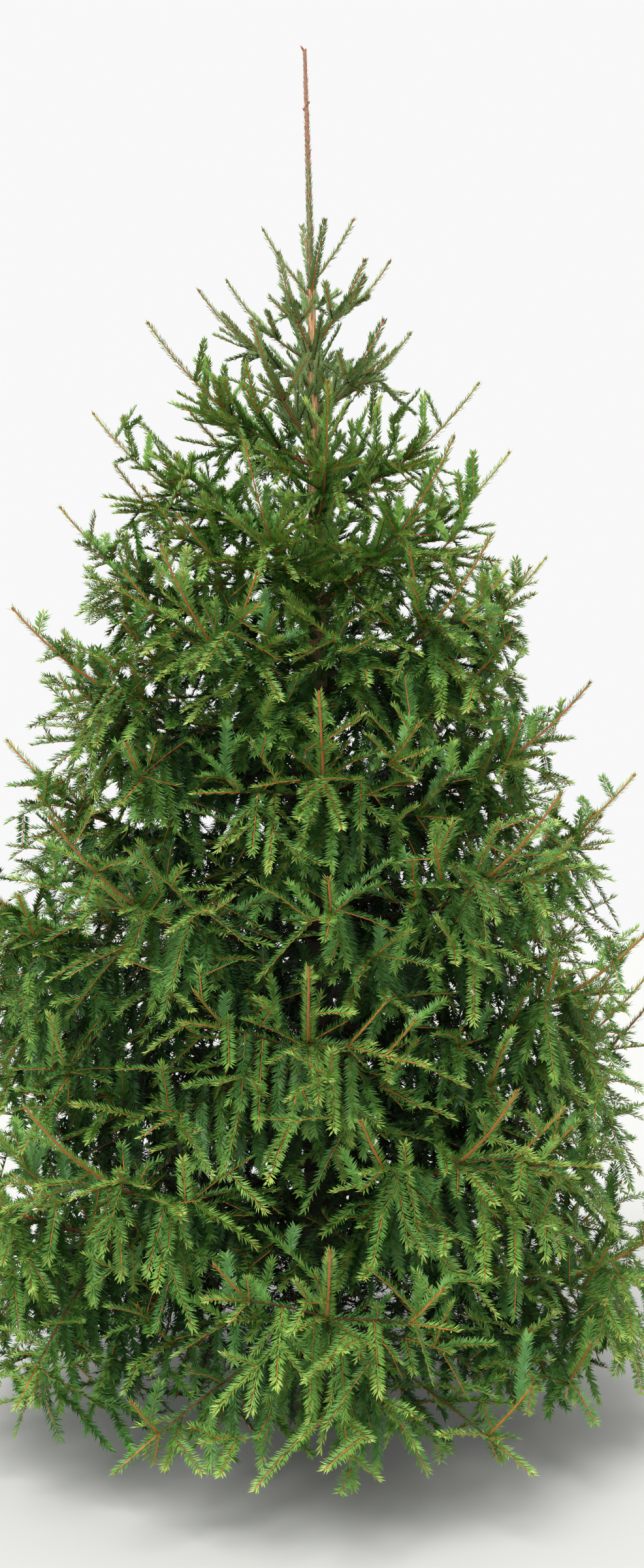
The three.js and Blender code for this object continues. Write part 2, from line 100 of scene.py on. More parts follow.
# One row for each size, one number in it for each whorl, from the lowest up
whorlTable = {
    "height": (0.48, 0.8, 1.08, 1.34, 1.62, 1.9, 2.14, 2.36, 2.56, 2.735, 2.885),
    "spread": (0.06, 0.11, 0.11, 0.11, 0.11, 0.1, 0.09, 0.08, 0.07, 0.05, 0.024),
    "headroom": (0.16, 0.14, 0.14, 0.14, 0.16, 0.22, 0.3, 0.36, 0.44, 0.55, 1),
    "reach": (1.04, 1, 0.93, 0.855, 0.765, 0.67, 0.55, 0.425, 0.285, 0.205, 0.112),
    "slope": (-0.2, -0.15, -0.1, -0.05, 0.03, 0.14, 0.28, 0.42, 0.55, 0.6, 1.2),
    "hook": (0.41, 0.41, 0.4, 0.39, 0.38, 0.36, 0.34, 0.31, 0.3, 0.34, 0.25),
    "bare": (0.26, 0.14, 0.14, 0.14, 0.14, 0.14, 0.14, 0.15, 0.18, 0.3, 0.2),
    "forked": (0.74, 0.74, 0.73, 0.72, 0.7, 0.66, 0.61, 0.56, 0.5, 0.3, 0.2),
    "forks": (9, 11, 11, 11, 11, 9, 8, 8, 5, 1, 0),
    "limbRadius": (0.0125, 0.0122, 0.0118, 0.0112, 0.0105, 0.0096, 0.0086, 0.0076, 0.0064, 0.005, 0.004),
    "tipRadius": (0.0034, 0.0034, 0.0034, 0.0032, 0.0031, 0.003, 0.0028, 0.0027, 0.0026, 0.0024, 0.0022),
    "lateralRise": (0.04, 0.05, 0.06, 0.08, 0.1, 0.14, 0.2, 0.28, 0.36, 0.34, 0.3),
    "lateralBend": (-0.18, -0.18, -0.16, -0.14, -0.12, -0.08, 0, 0.04, 0.06, 0.08, 0),
    "shootRise": (-2.4, -2.4, -2.3, -2.1, -1.6, -0.9, -0.1, 0.1, 0.2, 0.1, 0.1),
    "shootBend": (-0.16, -0.15, -0.14, -0.12, -0.1, -0.06, 0, 0.04, 0.06, 0.04, 0),
    "hang": (1, 1, 1, 1, 1, 0.95, 0.7, 0.5, 0, 0, 0),
    "climb": (0, 0, 0, 0, 0, 0, 0.6, 0.6, 0.6, 0, 0),
    "angles": (
        (1, 66, 140, 216, 294), (-38, 26, 104, 178, 250), (-4, 62, 138, 212, 286), (-36, 36, 102, 174, 252),
        (4, 74, 142, 214, 290), (-33, 38, 108, 180, 254), (-20, 34, 106, 178, 256), (8, 78, 152, 224, 296),
        (-34, 40, 112, 186, 258), (-82, -24, 36, 92, 186), (-86, 14, 78, 188),
    ),
}
whorls = [dict(zip(whorlTable, column)) for column in zip(*whorlTable.values())]
variation = {"rightShare": 0.07, "height": 0.25, "reach": 0.05, "slope": 0.05, "sway": 0.07, "tilt": 0.2}
lateralRule = {
    "gap": 0.024, "tipLength": 0.1, "innerLength": 0.78, "innerSpread": 44, "tipSpread": 60,
    "shortest": 0.06, "shorten": 0.85, "placeVary": 0.3, "lengthVary": 0.14, "spreadVary": 0.12,
    "riseVary": 0.12, "bendVary": 0.3, "sideVary": 1.2, "bendOut": 1.4, "ribShare": 0.011, "rib": 0.0024,
    "layerTurns": (2, 4), "layerDrop": 0.5, "dropOut": 1.2,
}
rows = [
    {"name": "left", "side": 1, "rise": 0, "from": 0, "until": 1},
    {"name": "right", "side": -1, "rise": 0, "from": 0, "until": 1},
    {"name": "hang", "side": 0, "rise": -1.15, "from": 0, "until": 0.9},
    {"name": "climb", "side": 0, "rise": 0.85, "from": 0.1, "until": 0.9},
]
shootRule = {
    "from": 0.1, "lastShoot": 0.115, "least": 0.35, "spacing": 0.06, "tipLength": 0.13, "spread": 52,
    "innerLength": 0.2, "fullLateral": 0.3, "lengthVary": 0.16, "riseVary": 0.12, "riseOut": 1.5,
}


# A repeatable number from -1 to 1 for a key and a channel, the same one that the solids use:
# twice the fraction of a large sine, less 1
def shake(key, channel):
    wave = math.sin(key * 12.9898 + channel * 78.233 + growth["seed"] * 37.719) * 43758.5453
    return 2 * (wave - math.floor(wave)) - 1


# The value, made larger or smaller by up to a share of itself
def varied(value, vary, key, channel):
    return value * (1 + vary * shake(key, channel))


# 0 in the drooping whorls low down and 1 in the ascending ones near the top
def upperShare(level):
    return smoothStep(*growth["upperWhorls"], level)


# The middle of the trunk: it leans by the cube of the height and sways by a half sine
def trunkCentre(z):
    z = np.asarray(z, float)
    share = z / trunk["height"]
    return np.stack([trunk["lean"] * share**3, -trunk["sway"] * np.sin(math.pi * share), z], axis=-1)


# The trunk's radius: wood that tapers by a power of the height left, and the leader above it
def trunkRadius(z):
    z = np.asarray(z, float)
    wood = trunk["stemRadius"] * np.maximum(0, 1 - z / trunk["stemTop"]) ** trunk["taper"]
    along = (z - trunk["leaderFoot"]) / (trunk["height"] - trunk["budLength"] - trunk["leaderFoot"])
    return wood + mix(trunk["leaderRadius"], trunk["tipRadius"], np.clip(along, 0, 1))


# A bough's place round the trunk and its height, reach, slope and sway, each a little varied
def boughOf(level, index):
    whorl = whorls[level]
    count = len(whorl["angles"])
    key = level * 10 + index + 1
    angle = whorl["angles"][index]
    after = (whorl["angles"][(index + 1) % count] - angle) % 360
    before = (angle - whorl["angles"][(index - 1) % count]) % 360
    turn = math.radians(angle)
    climb = 2 * index / (count - 1) - 1 + variation["height"] * shake(key, 1)
    size = 1 + variation["reach"] * shake(key, 2) - variation["rightShare"] * math.sin(turn)
    return SimpleNamespace(
        level=level, key=key, name=f"{level + 1}{'abcde'[index]}", whorl=whorl, angle=turn,
        roomAfter=math.radians(after) / 2, roomBefore=math.radians(before) / 2,
        height=whorl["height"] + whorl["spread"] * climb,
        reach=whorl["reach"] * size,
        slope=whorl["slope"] + variation["slope"] * shake(key, 3),
        sway=variation["sway"] * shake(key, 4),
        tilt=variation["tilt"] * shake(key, 13),
        out=outwardAt(turn),
        side=np.array((math.cos(turn), math.sin(turn), 0)),
    )


boughs = [
    [boughOf(level, index) for index in range(len(whorl["angles"]))]
    for level, whorl in enumerate(whorls)
]
everyBough = sum(boughs, [])


# A bough's middle line: u times its reach outwards, a sideways bow by u squared and a rise by u and its cube
def boughPoints(bough, u):
    u = np.asarray(u, float)[..., None]
    rise = bough.slope * u + bough.whorl["hook"] * u**3
    bow = bough.sway * u * u
    return trunkCentre(bough.height) + bough.reach * (u * bough.out + bow * bough.side + rise * upward)


def boughTangent(bough, u):
    step = 1e-3
    return unit(boughPoints(bough, u + step) - boughPoints(bough, u - step))


# How far directions are turned from a middle one, at most half a turn either way
def turnedFrom(middle, angle):
    return np.arctan2(np.sin(angle - middle), np.cos(angle - middle))


# How far directions lie from the middle between a bough and its neighbour
def roomIn(angle, middle, after, before):
    off = turnedFrom(middle, angle)
    return np.where(off > 0, after - off, before + off)


# Facts of the bough in whose sector each direction lies: height, reach, slope, angle, room on each side
def sectorsOf(level, angle):
    ring = boughs[level]
    values = np.array([(b.height, b.reach, b.slope, b.angle, b.roomAfter, b.roomBefore) for b in ring])
    inside = roomIn(angle[:, None], values[:, 3], values[:, 4], values[:, 5]) >= 0
    return values[np.argmax(inside, axis=1)].T


# The height of a whorl's bough in each direction, at each distance from the trunk
def heightAt(level, angle, radius):
    height, reach, slope = sectorsOf(level, angle)[:3]
    u = np.minimum(growth["edgeReach"], radius / reach)
    return height + reach * (slope * u + whorls[level]["hook"] * u**3)


# The height of the border between a whorl's slices and those of the whorl above it
def borderHeight(level, angle, radius):
    if level < 0:
        return np.full_like(radius, growth["groundGap"] - growth["spaceMargin"])
    if level == len(whorls) - 1:
        return np.full_like(radius, np.inf)
    low = heightAt(level, angle, radius)
    return mix(low, heightAt(level + 1, angle, radius), whorls[level]["headroom"])


# Where points lie about the trunk: distance from its middle line, and direction
def aroundTrunk(points):
    offset = points - trunkCentre(points[:, 2])
    return np.hypot(offset[:, 0], offset[:, 1]), np.arctan2(offset[:, 0], -offset[:, 1])


# True where all of the points lie in the slice of the crown that a bough and its foliage keep to,
# or no further than slack outside it
def inSpace(bough, points, slack=0.0):
    radius, angle = aroundTrunk(points)
    room = roomIn(angle, bough.angle, bough.roomAfter, bough.roomBefore)
    margin = growth["spaceMargin"] - slack
    clear = radius * np.sin(np.clip(room, -math.pi / 2, math.pi / 2)) > margin
    floor = np.maximum(borderHeight(bough.level - 1, angle, radius) + margin, growth["groundGap"])
    below = points[:, 2] < borderHeight(bough.level, angle, radius) - margin
    return bool(np.all(clear & (points[:, 2] > floor) & below))


# A twig's middle line: start + length * (v * direction + v squared * bend upwards)
def twigPoints(twig, v):
    v = np.asarray(v, float)[..., None]
    return twig.start + twig.length * (v * twig.direction + twig.bend * v * v * upward)


def twigTangent(twig, v):
    return unit(twig.direction + 2 * twig.bend * v * upward)


def leftOf(tangent):
    level = np.stack([-tangent[..., 1], tangent[..., 0], np.zeros_like(tangent[..., 0])], axis=-1)
    return unit(level)


# The direction of a fork: the tangent, turned to one side by degrees of spread and then raised
def forkDirection(tangent, side, spread, rise):
    spread = math.radians(spread)
    turned = tangent * math.cos(spread) + leftOf(tangent) * side * math.sin(spread)
    return unit(turned + rise * upward)


# The direction at degrees of spread to the tangent: a roll of 0 is above it, and roll turns to the left
def awayFrom(tangent, spread, roll):
    spread = math.radians(spread)
    left = leftOf(tangent)
    outward = math.cos(roll) * np.cross(tangent, left) + math.sin(roll) * left
    return unit(math.cos(spread) * tangent + math.sin(spread) * outward)


def twigOf(bough, key, start, direction, length, bend):
    return SimpleNamespace(bough=bough, key=key, start=start, direction=direction, length=length, bend=bend)


# A lateral: its row says on which side it grows, and its place along the bough sets its length
def lateralOf(bough, index, row):
    whorl = bough.whorl
    one = rows[row]
    rule = lateralRule
    key = bough.key * 100 + row * 25 + index
    first = whorl["bare"] + rule["gap"] / bough.reach
    place = max(0, index + rule["placeVary"] * shake(key, 5)) / max(1, whorl["forks"] - 1)
    u = mix(first, whorl["forked"], place)
    sideways = one["side"] or rule["sideVary"] * shake(key, 12)
    spread = varied(mix(rule["innerSpread"], rule["tipSpread"], u), rule["spreadVary"], key, 6)
    isLow = sum(index // turn for turn in rule["layerTurns"]) % 2 == 1
    rise = whorl["lateralRise"] + one["rise"] + rule["riseVary"] * shake(key, 7)
    rise += one["side"] * bough.tilt - rule["layerDrop"] * isLow * (rule["dropOut"] - u)
    size = whorl.get(one["name"], 1) * (rule["tipLength"] + rule["innerLength"] * (1 - u))
    lateral = twigOf(
        bough, key, boughPoints(bough, u),
        forkDirection(boughTangent(bough, u), sideways, spread, rise),
        varied(bough.reach * size, rule["lengthVary"], key, 8),
        varied(whorl["lateralBend"], rule["bendVary"], key, 9) * (rule["bendOut"] - u),
    )
    lateral.u = u
    return lateral


# How many forks a lateral has, and how far out the last one is
def forksOf(lateral):
    until = max(shootRule["least"], 1 - shootRule["lastShoot"] / lateral.length)
    forked = lateral.length * (until - shootRule["from"])
    every = growth["shootEvery"]
    return every * max(1, math.floor(forked / shootRule["spacing"] / every + 0.5)), until


# A shoot at the share v of a lateral
def shootOf(lateral, index, v, side):
    whorl = lateral.bough.whorl
    rule = shootRule
    key = lateral.key * 100 + index * 2 + (1 if side > 0 else 0)
    size = min(1, lateral.length / rule["fullLateral"]) * mix(rule["innerLength"], rule["tipLength"], v)
    rise = whorl["shootRise"] * (rule["riseOut"] - lateral.u) + rule["riseVary"] * shake(key, 10)
    direction = forkDirection(twigTangent(lateral, v), side, rule["spread"], rise)
    length = varied(size, rule["lengthVary"], key, 11)
    return twigOf(lateral.bough, key, twigPoints(lateral, v), direction, length, whorl["shootBend"])


# Growing: every twig that carries needles becomes one path of evenly spaced points

fine = {
    "samples": 9, "ringLength": 0.1, "slack": 0.045, "shortestShoot": 0.035, "betweenSize": 0.86,
    "ranks": (0, 2, 1, 2), "rankSizes": (1, 0.75, 0.6), "plainLength": 0.2, "stemFrom": (0.1, 0.04),
    "probes": (0.25, 0.5, 0.75, 1), "ahead": (0.2, 0.4, 0.6, 0.8, 1),
    "twigLeast": 0.09, "twigPlaces": (0.22, 0.5), "twigSize": 0.46, "twigVary": 0.25, "twigSpread": 48,
    "twigRise": -0.05,
}
# Radii at the foot and the tip of the finer kinds of twig
girths = {
    "shoot": (0.0015, 0.0011), "twig": (0.0013, 0.001), "plain": (0.0019, 0.0012), "cover": (0.0016, 0.0011),
    "between": (0.0022, 0.0012), "candle": (0.0031, 0.0023), "gap": (0.0014, 0.001),
    "leading": (0.0015, 0.0014),
}
# The crown is divided into cells. A finer twig doesn't grow where the cells on its way are full of
# twig: in metres for each cell
crowding = {"cell": 0.08, "full": 0.118, "corner": np.array((-1.28, -1.28, 0)), "cells": (32, 32, 40)}
filled = np.zeros(crowding["cells"])
paths = []
lateralsGrown = []
shootsGrown = []


def cellsOf(points):
    return tuple(((points - crowding["corner"]) / crowding["cell"]).astype(int).T)


def isFull(points):
    return filled[cellsOf(points)].mean() > crowding["full"]


def samplesOf(twig):
    return twigPoints(twig, np.linspace(0, 1, fine["samples"]))


def addPath(bough, key, points, kind, girth):
    length = np.linalg.norm(np.diff(points, axis=0), axis=1).sum()
    tip = points[-1] - trunkCentre(points[-1][2])
    outer = math.hypot(tip[0], tip[1]) / bough.reach
    np.add.at(filled, cellsOf(points), length / len(points))
    paths.append(SimpleNamespace(
        bough=bough, points=points, kind=kind, key=key, length=length, outer=outer,
        base=girth[0], end=girth[1],
    ))


def addTwig(twig, kind, girth):
    addPath(twig.bough, twig.key, samplesOf(twig), kind, girth)


# A stem, which is a bough or a lateral, as two paths: between the first two of three places along it
# lies its forked part, and between the last two its last shoot
def addForked(bough, stem, pointsOf, places, kinds, girth):
    for part, kind in enumerate(kinds):
        along = np.linspace(*places[part:part + 2], fine["samples"])
        addPath(bough, stem.key, pointsOf(stem, along), kind, girth[part:part + 2])


# A finer, unforked twig, where there is room for it
def addShoot(twig, girth):
    points = samplesOf(twig)
    half = fine["samples"] // 2
    isGrown = inSpace(twig.bough, points[[half, -1]], fine["slack"]) and not isFull(points[half:])
    if isGrown:
        addTwig(twig, "shoot", girth)
    return isGrown


# The shoots of a lateral: those of the solids first, and then the ones between them
def growShoots(lateral, isBetween):
    for index in range(lateral.forks):
        v = mix(shootRule["from"], lateral.until, index / lateral.forks)
        isMain = lateral.rank == 0 and index % growth["shootEvery"] == 0
        if isMain == isBetween:
            continue
        for side in (1, -1):
            shoot = shootOf(lateral, index, v, side)
            shoot.length *= 1 if isMain else fine["betweenSize"]
            if shoot.length <= fine["shortestShoot"]:
                continue
            if not isMain:
                isGrown = addShoot(shoot, girths["shoot"])
            else:
                isGrown = inSpace(lateral.bough, twigPoints(shoot, [0.5, 1]))
                if isGrown:
                    addTwig(shoot, "shoot", girths["shoot"])
            if isGrown:
                shootsGrown.append(shoot)


# Small side twigs on a long shoot
def growTwigs(shoot):
    if shoot.length < fine["twigLeast"]:
        return
    for number, v in enumerate(fine["twigPlaces"]):
        for side in (1, -1):
            key = shoot.key * 10 + number * 2 + (side > 0)
            direction = forkDirection(twigTangent(shoot, v), side, fine["twigSpread"], fine["twigRise"])
            length = varied(shoot.length * fine["twigSize"], fine["twigVary"], key, 23)
            twig = twigOf(shoot.bough, key, twigPoints(shoot, v), direction, length, shoot.bend)
            addShoot(twig, girths["twig"])


# A ring of unforked shoots round the foot of a bough's or a lateral's last shoot: each direction is
# the middle line's, turned outwards by the spread, and the ring is dealt out evenly round it
star = {
    "boughCount": 7, "lateralCount": 3, "spread": 52, "spreadVary": 0.3, "rollVary": 0.35, "share": 0.52,
    "lengthVary": 0.25, "bend": -0.05, "from": 0.55,
}


def growStar(bough, key, start, tangent, length, count):
    for number in range(count):
        own = key * 10 + number
        roll = (number + 0.5 + star["rollVary"] * shake(own, 41)) * 2 * math.pi / count
        spread = varied(star["spread"], star["spreadVary"], own, 42)
        ownLength = varied(length, star["lengthVary"], own, 43)
        shoot = twigOf(bough, own, start, awayFrom(tangent, spread, roll), ownLength, star["bend"])
        addShoot(shoot, girths["plain"])


# Short shoots all along a bough's forked part, in a spiral, that hide its old wood
cover = {
    "from": 0.16, "spacing": 0.055, "turnVary": 40, "spread": 54, "length": 0.105, "lengthVary": 0.3,
    "bend": -0.1,
}


def growCover(bough):
    forked = bough.whorl["forked"]
    count = int(bough.reach * (forked - cover["from"]) / cover["spacing"])
    for number in range(count):
        u = mix(cover["from"], forked, (number + 0.5) / count)
        own = bough.key * 1000 + number
        roll = math.radians(goldenTurn * number + cover["turnVary"] * shake(own, 44))
        direction = awayFrom(boughTangent(bough, u), cover["spread"], roll)
        length = varied(cover["length"], cover["lengthVary"], own, 45)
        shoot = twigOf(bough, own, boughPoints(bough, u), direction, length, cover["bend"])
        addShoot(shoot, girths["cover"])


# Shoots on the trunk between the whorls, in a spiral, each with small side twigs
between = {
    "from": 1.4, "to": 2.7, "count": 120, "turnVary": 20, "rise": 34, "riseTop": 56, "riseVary": 8,
    "length": 0.27, "topLength": 0.12, "lengthVary": 0.22, "bend": 0.06, "firstKey": 90000,
}


def growBetween():
    for number in range(between["count"]):
        share = (number + 0.5) / between["count"]
        z = mix(between["from"], between["to"], share)
        turn = math.radians(goldenTurn * number + between["turnVary"] * shake(number, 46))
        level = int(np.argmin([abs(whorl["height"] - z) for whorl in whorls]))
        bough = min(boughs[level], key=lambda one: -math.cos(one.angle - turn))
        rise = mix(between["rise"], between["riseTop"], share) + between["riseVary"] * shake(number, 47)
        rise = math.radians(rise)
        direction = math.cos(rise) * outwardAt(turn) + math.sin(rise) * upward
        length = mix(between["length"], between["topLength"], share)
        length = varied(length, between["lengthVary"], number, 48)
        key = between["firstKey"] + number
        shootsGrown.append(twigOf(bough, key, trunkCentre(z), direction, length, between["bend"]))
        addTwig(shootsGrown[-1], "shoot", girths["between"])


# An upright last shoot at the end of some of the outer laterals
candle = {
    "from": 0.74, "longest": 0.2, "chance": 0.1, "rise": 0.95, "length": 0.135, "lengthVary": 0.25,
    "bend": 0.08,
}


def growCandle(lateral):
    isShort = lateral.outer < candle["from"] or lateral.length < candle["longest"]
    if isShort or shake(lateral.key, 61) < candle["chance"]:
        return
    tangent = twigTangent(lateral, lateral.until) * np.array((1, 1, 0))
    direction = unit(tangent + candle["rise"] * upward)
    length = varied(candle["length"], candle["lengthVary"], lateral.key, 62)
    fork = twigPoints(lateral, lateral.until)
    twig = twigOf(lateral.bough, lateral.key * 3, fork, direction, length, candle["bend"])
    addTwig(twig, "candle", girths["candle"])


# The laterals of a bough: rank 0 is in the solids, rank 1 is shorter and rank 2 shorter and unforked
def growLaterals(bough, ranks):
    for row, one in enumerate(rows):
        if bough.whorl.get(one["name"], 1) == 0:
            continue
        for index in range(bough.whorl["forks"]):
            lateral = lateralOf(bough, index, row)
            lateral.rank = fine["ranks"][index % growth["mainEvery"]]
            if lateral.rank in ranks and one["from"] < lateral.u < one["until"]:
                growLateral(lateral)


# A lateral is shortened until it keeps to its bough's slice, and grows if its way isn't full
def growLateral(lateral):
    bough = lateral.bough
    slack = fine["slack"] if lateral.rank else 0
    shortest = lateralRule["shortest"]
    lateral.length *= fine["rankSizes"][lateral.rank]
    while not inSpace(bough, twigPoints(lateral, fine["probes"]), slack) and lateral.length > shortest:
        lateral.length *= lateralRule["shorten"]
    if lateral.length <= shortest:
        return
    if lateral.rank == 2:
        lateral.length = min(lateral.length, fine["plainLength"])
        addShoot(lateral, girths["plain"])
        return
    if lateral.rank and isFull(twigPoints(lateral, fine["ahead"])):
        return
    base = max(lateralRule["rib"], lateral.length * lateralRule["ribShare"])
    lateral.forks, lateral.until = forksOf(lateral)
    girth = (base, mix(base, girths["leading"][0], lateral.until), girths["leading"][1])
    addForked(bough, lateral, twigPoints, (0, lateral.until, 1), ("lateral", "leading"), girth)
    lateral.outer = paths[-1].outer
    lateralsGrown.append(lateral)
    if lateral.rank == 0:
        growShoots(lateral, False)


# The bough itself: its forked part and its last shoot
def growStem(bough):
    whorl = bough.whorl
    isLimb = bough.level < growth["limbWhorls"]
    start = whorl["bare"] if isLimb else mix(*fine["stemFrom"], upperShare(bough.level))
    places = (start, whorl["forked"], 1)
    girth = [mix(whorl["limbRadius"], whorl["tipRadius"], u) for u in places]
    addForked(bough, bough, boughPoints, places, ("stem", "end"), girth)


# Gaps: cells inside the crown with hardly any twig get one from a twig near by, towards the cell.
# Edges are shares of the whorls' reach, and least is the metres of twig in a cell at each of the heights
gaps = {
    "edges": (0.93, 0.93, 0.93, 0.93, 0.92, 0.9, 0.86, 0.8, 0.7), "dip": 0.14, "inner": 0.05, "low": 0.2,
    "droop": (-0.12, -0.12, -0.12, -0.12, -0.1, -0.05, 0.05, 0.1, 0.12), "rounds": 3, "firstChannel": 60,
    "nearest": 0.045, "forward": 0.2, "beyond": 1.45, "most": 0.19, "jitter": 0.35, "ahead": 3,
    "heights": (1.45, 1.75, 2.2, 2.5), "least": (0.036, 0.085, 0.085, 0.02), "keySteps": (97, 13, 1),
}


def leastAt(height):
    return np.interp(height, gaps["heights"], gaps["least"])


# The middles of the empty cells, moved a little at random, that lie inside the crown
def findGaps(channel):
    heights = (np.arange(crowding["cells"][2]) + 0.5) * crowding["cell"]
    cells = np.stack(np.nonzero(filled < leastAt(heights)), axis=1)
    keys = (cells @ gaps["keySteps"]).tolist()
    jitter = np.array([[shake(key, channel + axis) for axis in range(3)] for key in keys])
    centres = (cells + 0.5 + gaps["jitter"] * jitter) * crowding["cell"] + crowding["corner"]
    radius, angle = aroundTrunk(centres)
    z = centres[:, 2]
    inside = np.zeros(len(centres), bool)
    for level, edge in enumerate(gaps["edges"]):
        reach, middle, after, before = sectorsOf(level, angle)[[1, 3, 4, 5]]
        off = turnedFrom(middle, angle)
        aside = np.where(off > 0, off / after, -off / before)
        isBetween = (z > borderHeight(level - 1, angle, radius)) & (z < borderHeight(level, angle, radius))
        inside |= isBetween & (radius < (edge - gaps["dip"] * aside) * reach)
    return centres[inside & (radius > gaps["inner"]) & (z > gaps["low"])]


# Each gap gets a twig from the nearest path that heads towards it
def fillGaps(channel):
    centres = findGaps(channel)
    points = np.concatenate([path.points[1:-2] for path in paths])
    tangents = np.concatenate([unit(path.points[2:-1] - path.points[:-3]) for path in paths])
    owners = np.repeat(np.arange(len(paths)), fine["samples"] - 3)
    shape = crowding["cells"]
    flat = np.ravel_multi_index(cellsOf(points), shape)
    order = np.argsort(flat, kind="stable")
    points, tangents, owners, flat = points[order], tangents[order], owners[order], flat[order]
    around = np.array(list(np.ndindex(3, 3, 3))) - 1
    for number, centre in enumerate(centres):
        near = np.ravel_multi_index(tuple((np.array(cellsOf(centre)) + around).T), shape, mode="clip")
        low, high = np.searchsorted(flat, near), np.searchsorted(flat, near, side="right")
        picked = np.concatenate([np.arange(a, b) for a, b in zip(low, high)])
        if not len(picked):
            continue
        way = centre - points[picked]
        distance = np.linalg.norm(way, axis=1)
        forward = (way * tangents[picked]).sum(axis=1) / np.maximum(distance, 1e-9)
        cost = np.where((distance > gaps["nearest"]) & (forward > gaps["forward"]), distance, np.inf)
        best = np.argmin(cost)
        if not np.isfinite(cost[best]):
            continue
        parent = paths[owners[picked[best]]]
        key = parent.key * 10 + number % 10 + channel
        droop = gaps["droop"][min(parent.bough.level, len(gaps["droop"]) - 1)]
        length = min(gaps["most"], distance[best] * gaps["beyond"])
        direction = way[best] / distance[best]
        shoot = twigOf(parent.bough, key, points[picked[best]], direction, length, droop)
        line = samplesOf(shoot)
        isEmpty = filled[cellsOf(line[-gaps["ahead"]:])].mean() < leastAt(centre[2])
        if isEmpty and line[:, 2].min() > growth["groundGap"]:
            addTwig(shoot, "shoot", girths["gap"])


# Everything that grows, in order of rank, so that the finer twigs find the coarser ones in place
def growCrown():
    for bough in everyBough:
        growStem(bough)
        growLaterals(bough, (0,))
    for bough in everyBough:
        if bough.whorl["forks"] > 1:
            forked = bough.whorl["forked"]
            last = bough.reach * (1 - forked) * star["share"]
            fork, tangent = boughPoints(bough, forked), boughTangent(bough, forked)
            growStar(bough, bough.key * 7, fork, tangent, last, star["boughCount"])
    growBetween()
    for bough in everyBough:
        growCover(bough)
    for bough in everyBough:
        growLaterals(bough, (1, 2))
    for lateral in lateralsGrown:
        growCandle(lateral)
    for lateral in lateralsGrown:
        growShoots(lateral, True)
        if lateral.outer > star["from"]:
            last = lateral.length * (1 - lateral.until) * star["share"]
            fork, tangent = twigPoints(lateral, lateral.until), twigTangent(lateral, lateral.until)
            growStar(lateral.bough, lateral.key, fork, tangent, last, star["lateralCount"])
    for shoot in shootsGrown:
        growTwigs(shoot)


growCrown()
grown = len(paths)
for channel in range(gaps["rounds"]):
    fillGaps(gaps["firstChannel"] + 3 * channel)
total = sum(path.length for path in paths)
print(f"grown: {grown} twigs and {len(paths) - grown} in gaps, {total:.0f} m of needled twig")


# Objects: a mesh, a light or a camera in the scene, and whole arrays of points and faces as one piece
# that rides on the root body


def placed(name, data):
    made = bpy.data.objects.new(name, data)
    bpy.context.collection.objects.link(made)
    return made


def writeMesh(name, points, faces, materials, slots=None, smooth=False, uv=None):
    mesh = bpy.data.meshes.new(name)
    count, sides = faces.shape
    mesh.vertices.add(len(points))
    mesh.vertices.foreach_set("co", points.astype(np.float32).ravel())
    mesh.loops.add(count * sides)
    mesh.loops.foreach_set("vertex_index", faces.astype(np.int32).ravel())
    mesh.polygons.add(count)
    mesh.polygons.foreach_set("loop_start", np.arange(0, count * sides, sides, dtype=np.int32))
    mesh.polygons.foreach_set("use_smooth", np.full(count, smooth))
    for material in materials:
        mesh.materials.append(material)
    if slots is not None:
        mesh.polygons.foreach_set("material_index", slots.astype(np.int32))
    if uv is not None:
        along = mesh.uv_layers.new(name="along")
        along.data.foreach_set("uv", uv[faces.ravel()].astype(np.float32).ravel())
    mesh.update(calc_edges=True)
    mesh.validate()
    made = placed(name, mesh)
    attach(made, "root")
    return made


# Faces of many tubes at once, each with the same rings and sides and a pole at either end
def tubeFaces(tubes, rings, sides):
    first = np.arange(tubes)[:, None, None] * (rings * sides + 2)
    ring = np.arange(rings - 1)[None, :, None] * sides
    side = np.arange(sides)[None, None, :]
    nextSide = (side + 1) % sides
    a = first + ring + side
    b = first + ring + nextSide
    walls = np.stack([a, b, b + sides, a + sides], axis=-1).reshape(-1, 4)
    triangles = np.concatenate([walls[:, [0, 1, 2]], walls[:, [0, 2, 3]]])
    side = np.arange(sides)[None, :]
    first = np.arange(tubes)[:, None] * (rings * sides + 2)
    foot = first + rings * sides + 0 * side
    last = first + (rings - 1) * sides
    lowCap = np.stack([foot, first + (side + 1) % sides, first + side], axis=-1).reshape(-1, 3)
    highCap = np.stack([foot + 1, last + side, last + (side + 1) % sides], axis=-1).reshape(-1, 3)
    return np.concatenate([triangles, lowCap, highCap])


# Tubes round middle lines: each ring is the centre + radius * (cos * left + sin * top of the line)
def tubePoints(centres, radii, sides, tipOut=0.0):
    tangent = unit(np.gradient(centres, axis=1))
    left = leftOf(tangent)
    top = np.cross(tangent, left)
    angle = np.arange(sides) * 2 * math.pi / sides
    spokes = np.cos(angle)[:, None] * left[:, :, None, :] + np.sin(angle)[:, None] * top[:, :, None, :]
    rings = centres[:, :, None, :] + radii[:, :, None, None] * spokes
    tubes, count = centres.shape[:2]
    poles = np.stack([centres[:, 0], centres[:, -1] + tipOut * tangent[:, -1]], axis=1)
    return np.concatenate([rings.reshape(tubes, count * sides, 3), poles], axis=1).reshape(-1, 3)


# Two faces for each kite of four points, folded from its foot to its tip
def kiteFaces(count):
    first = np.arange(count)[:, None] * 4
    return np.concatenate([first + np.array([0, 1, 2]), first + np.array([0, 2, 3])], axis=1).reshape(-1, 3)


# Materials


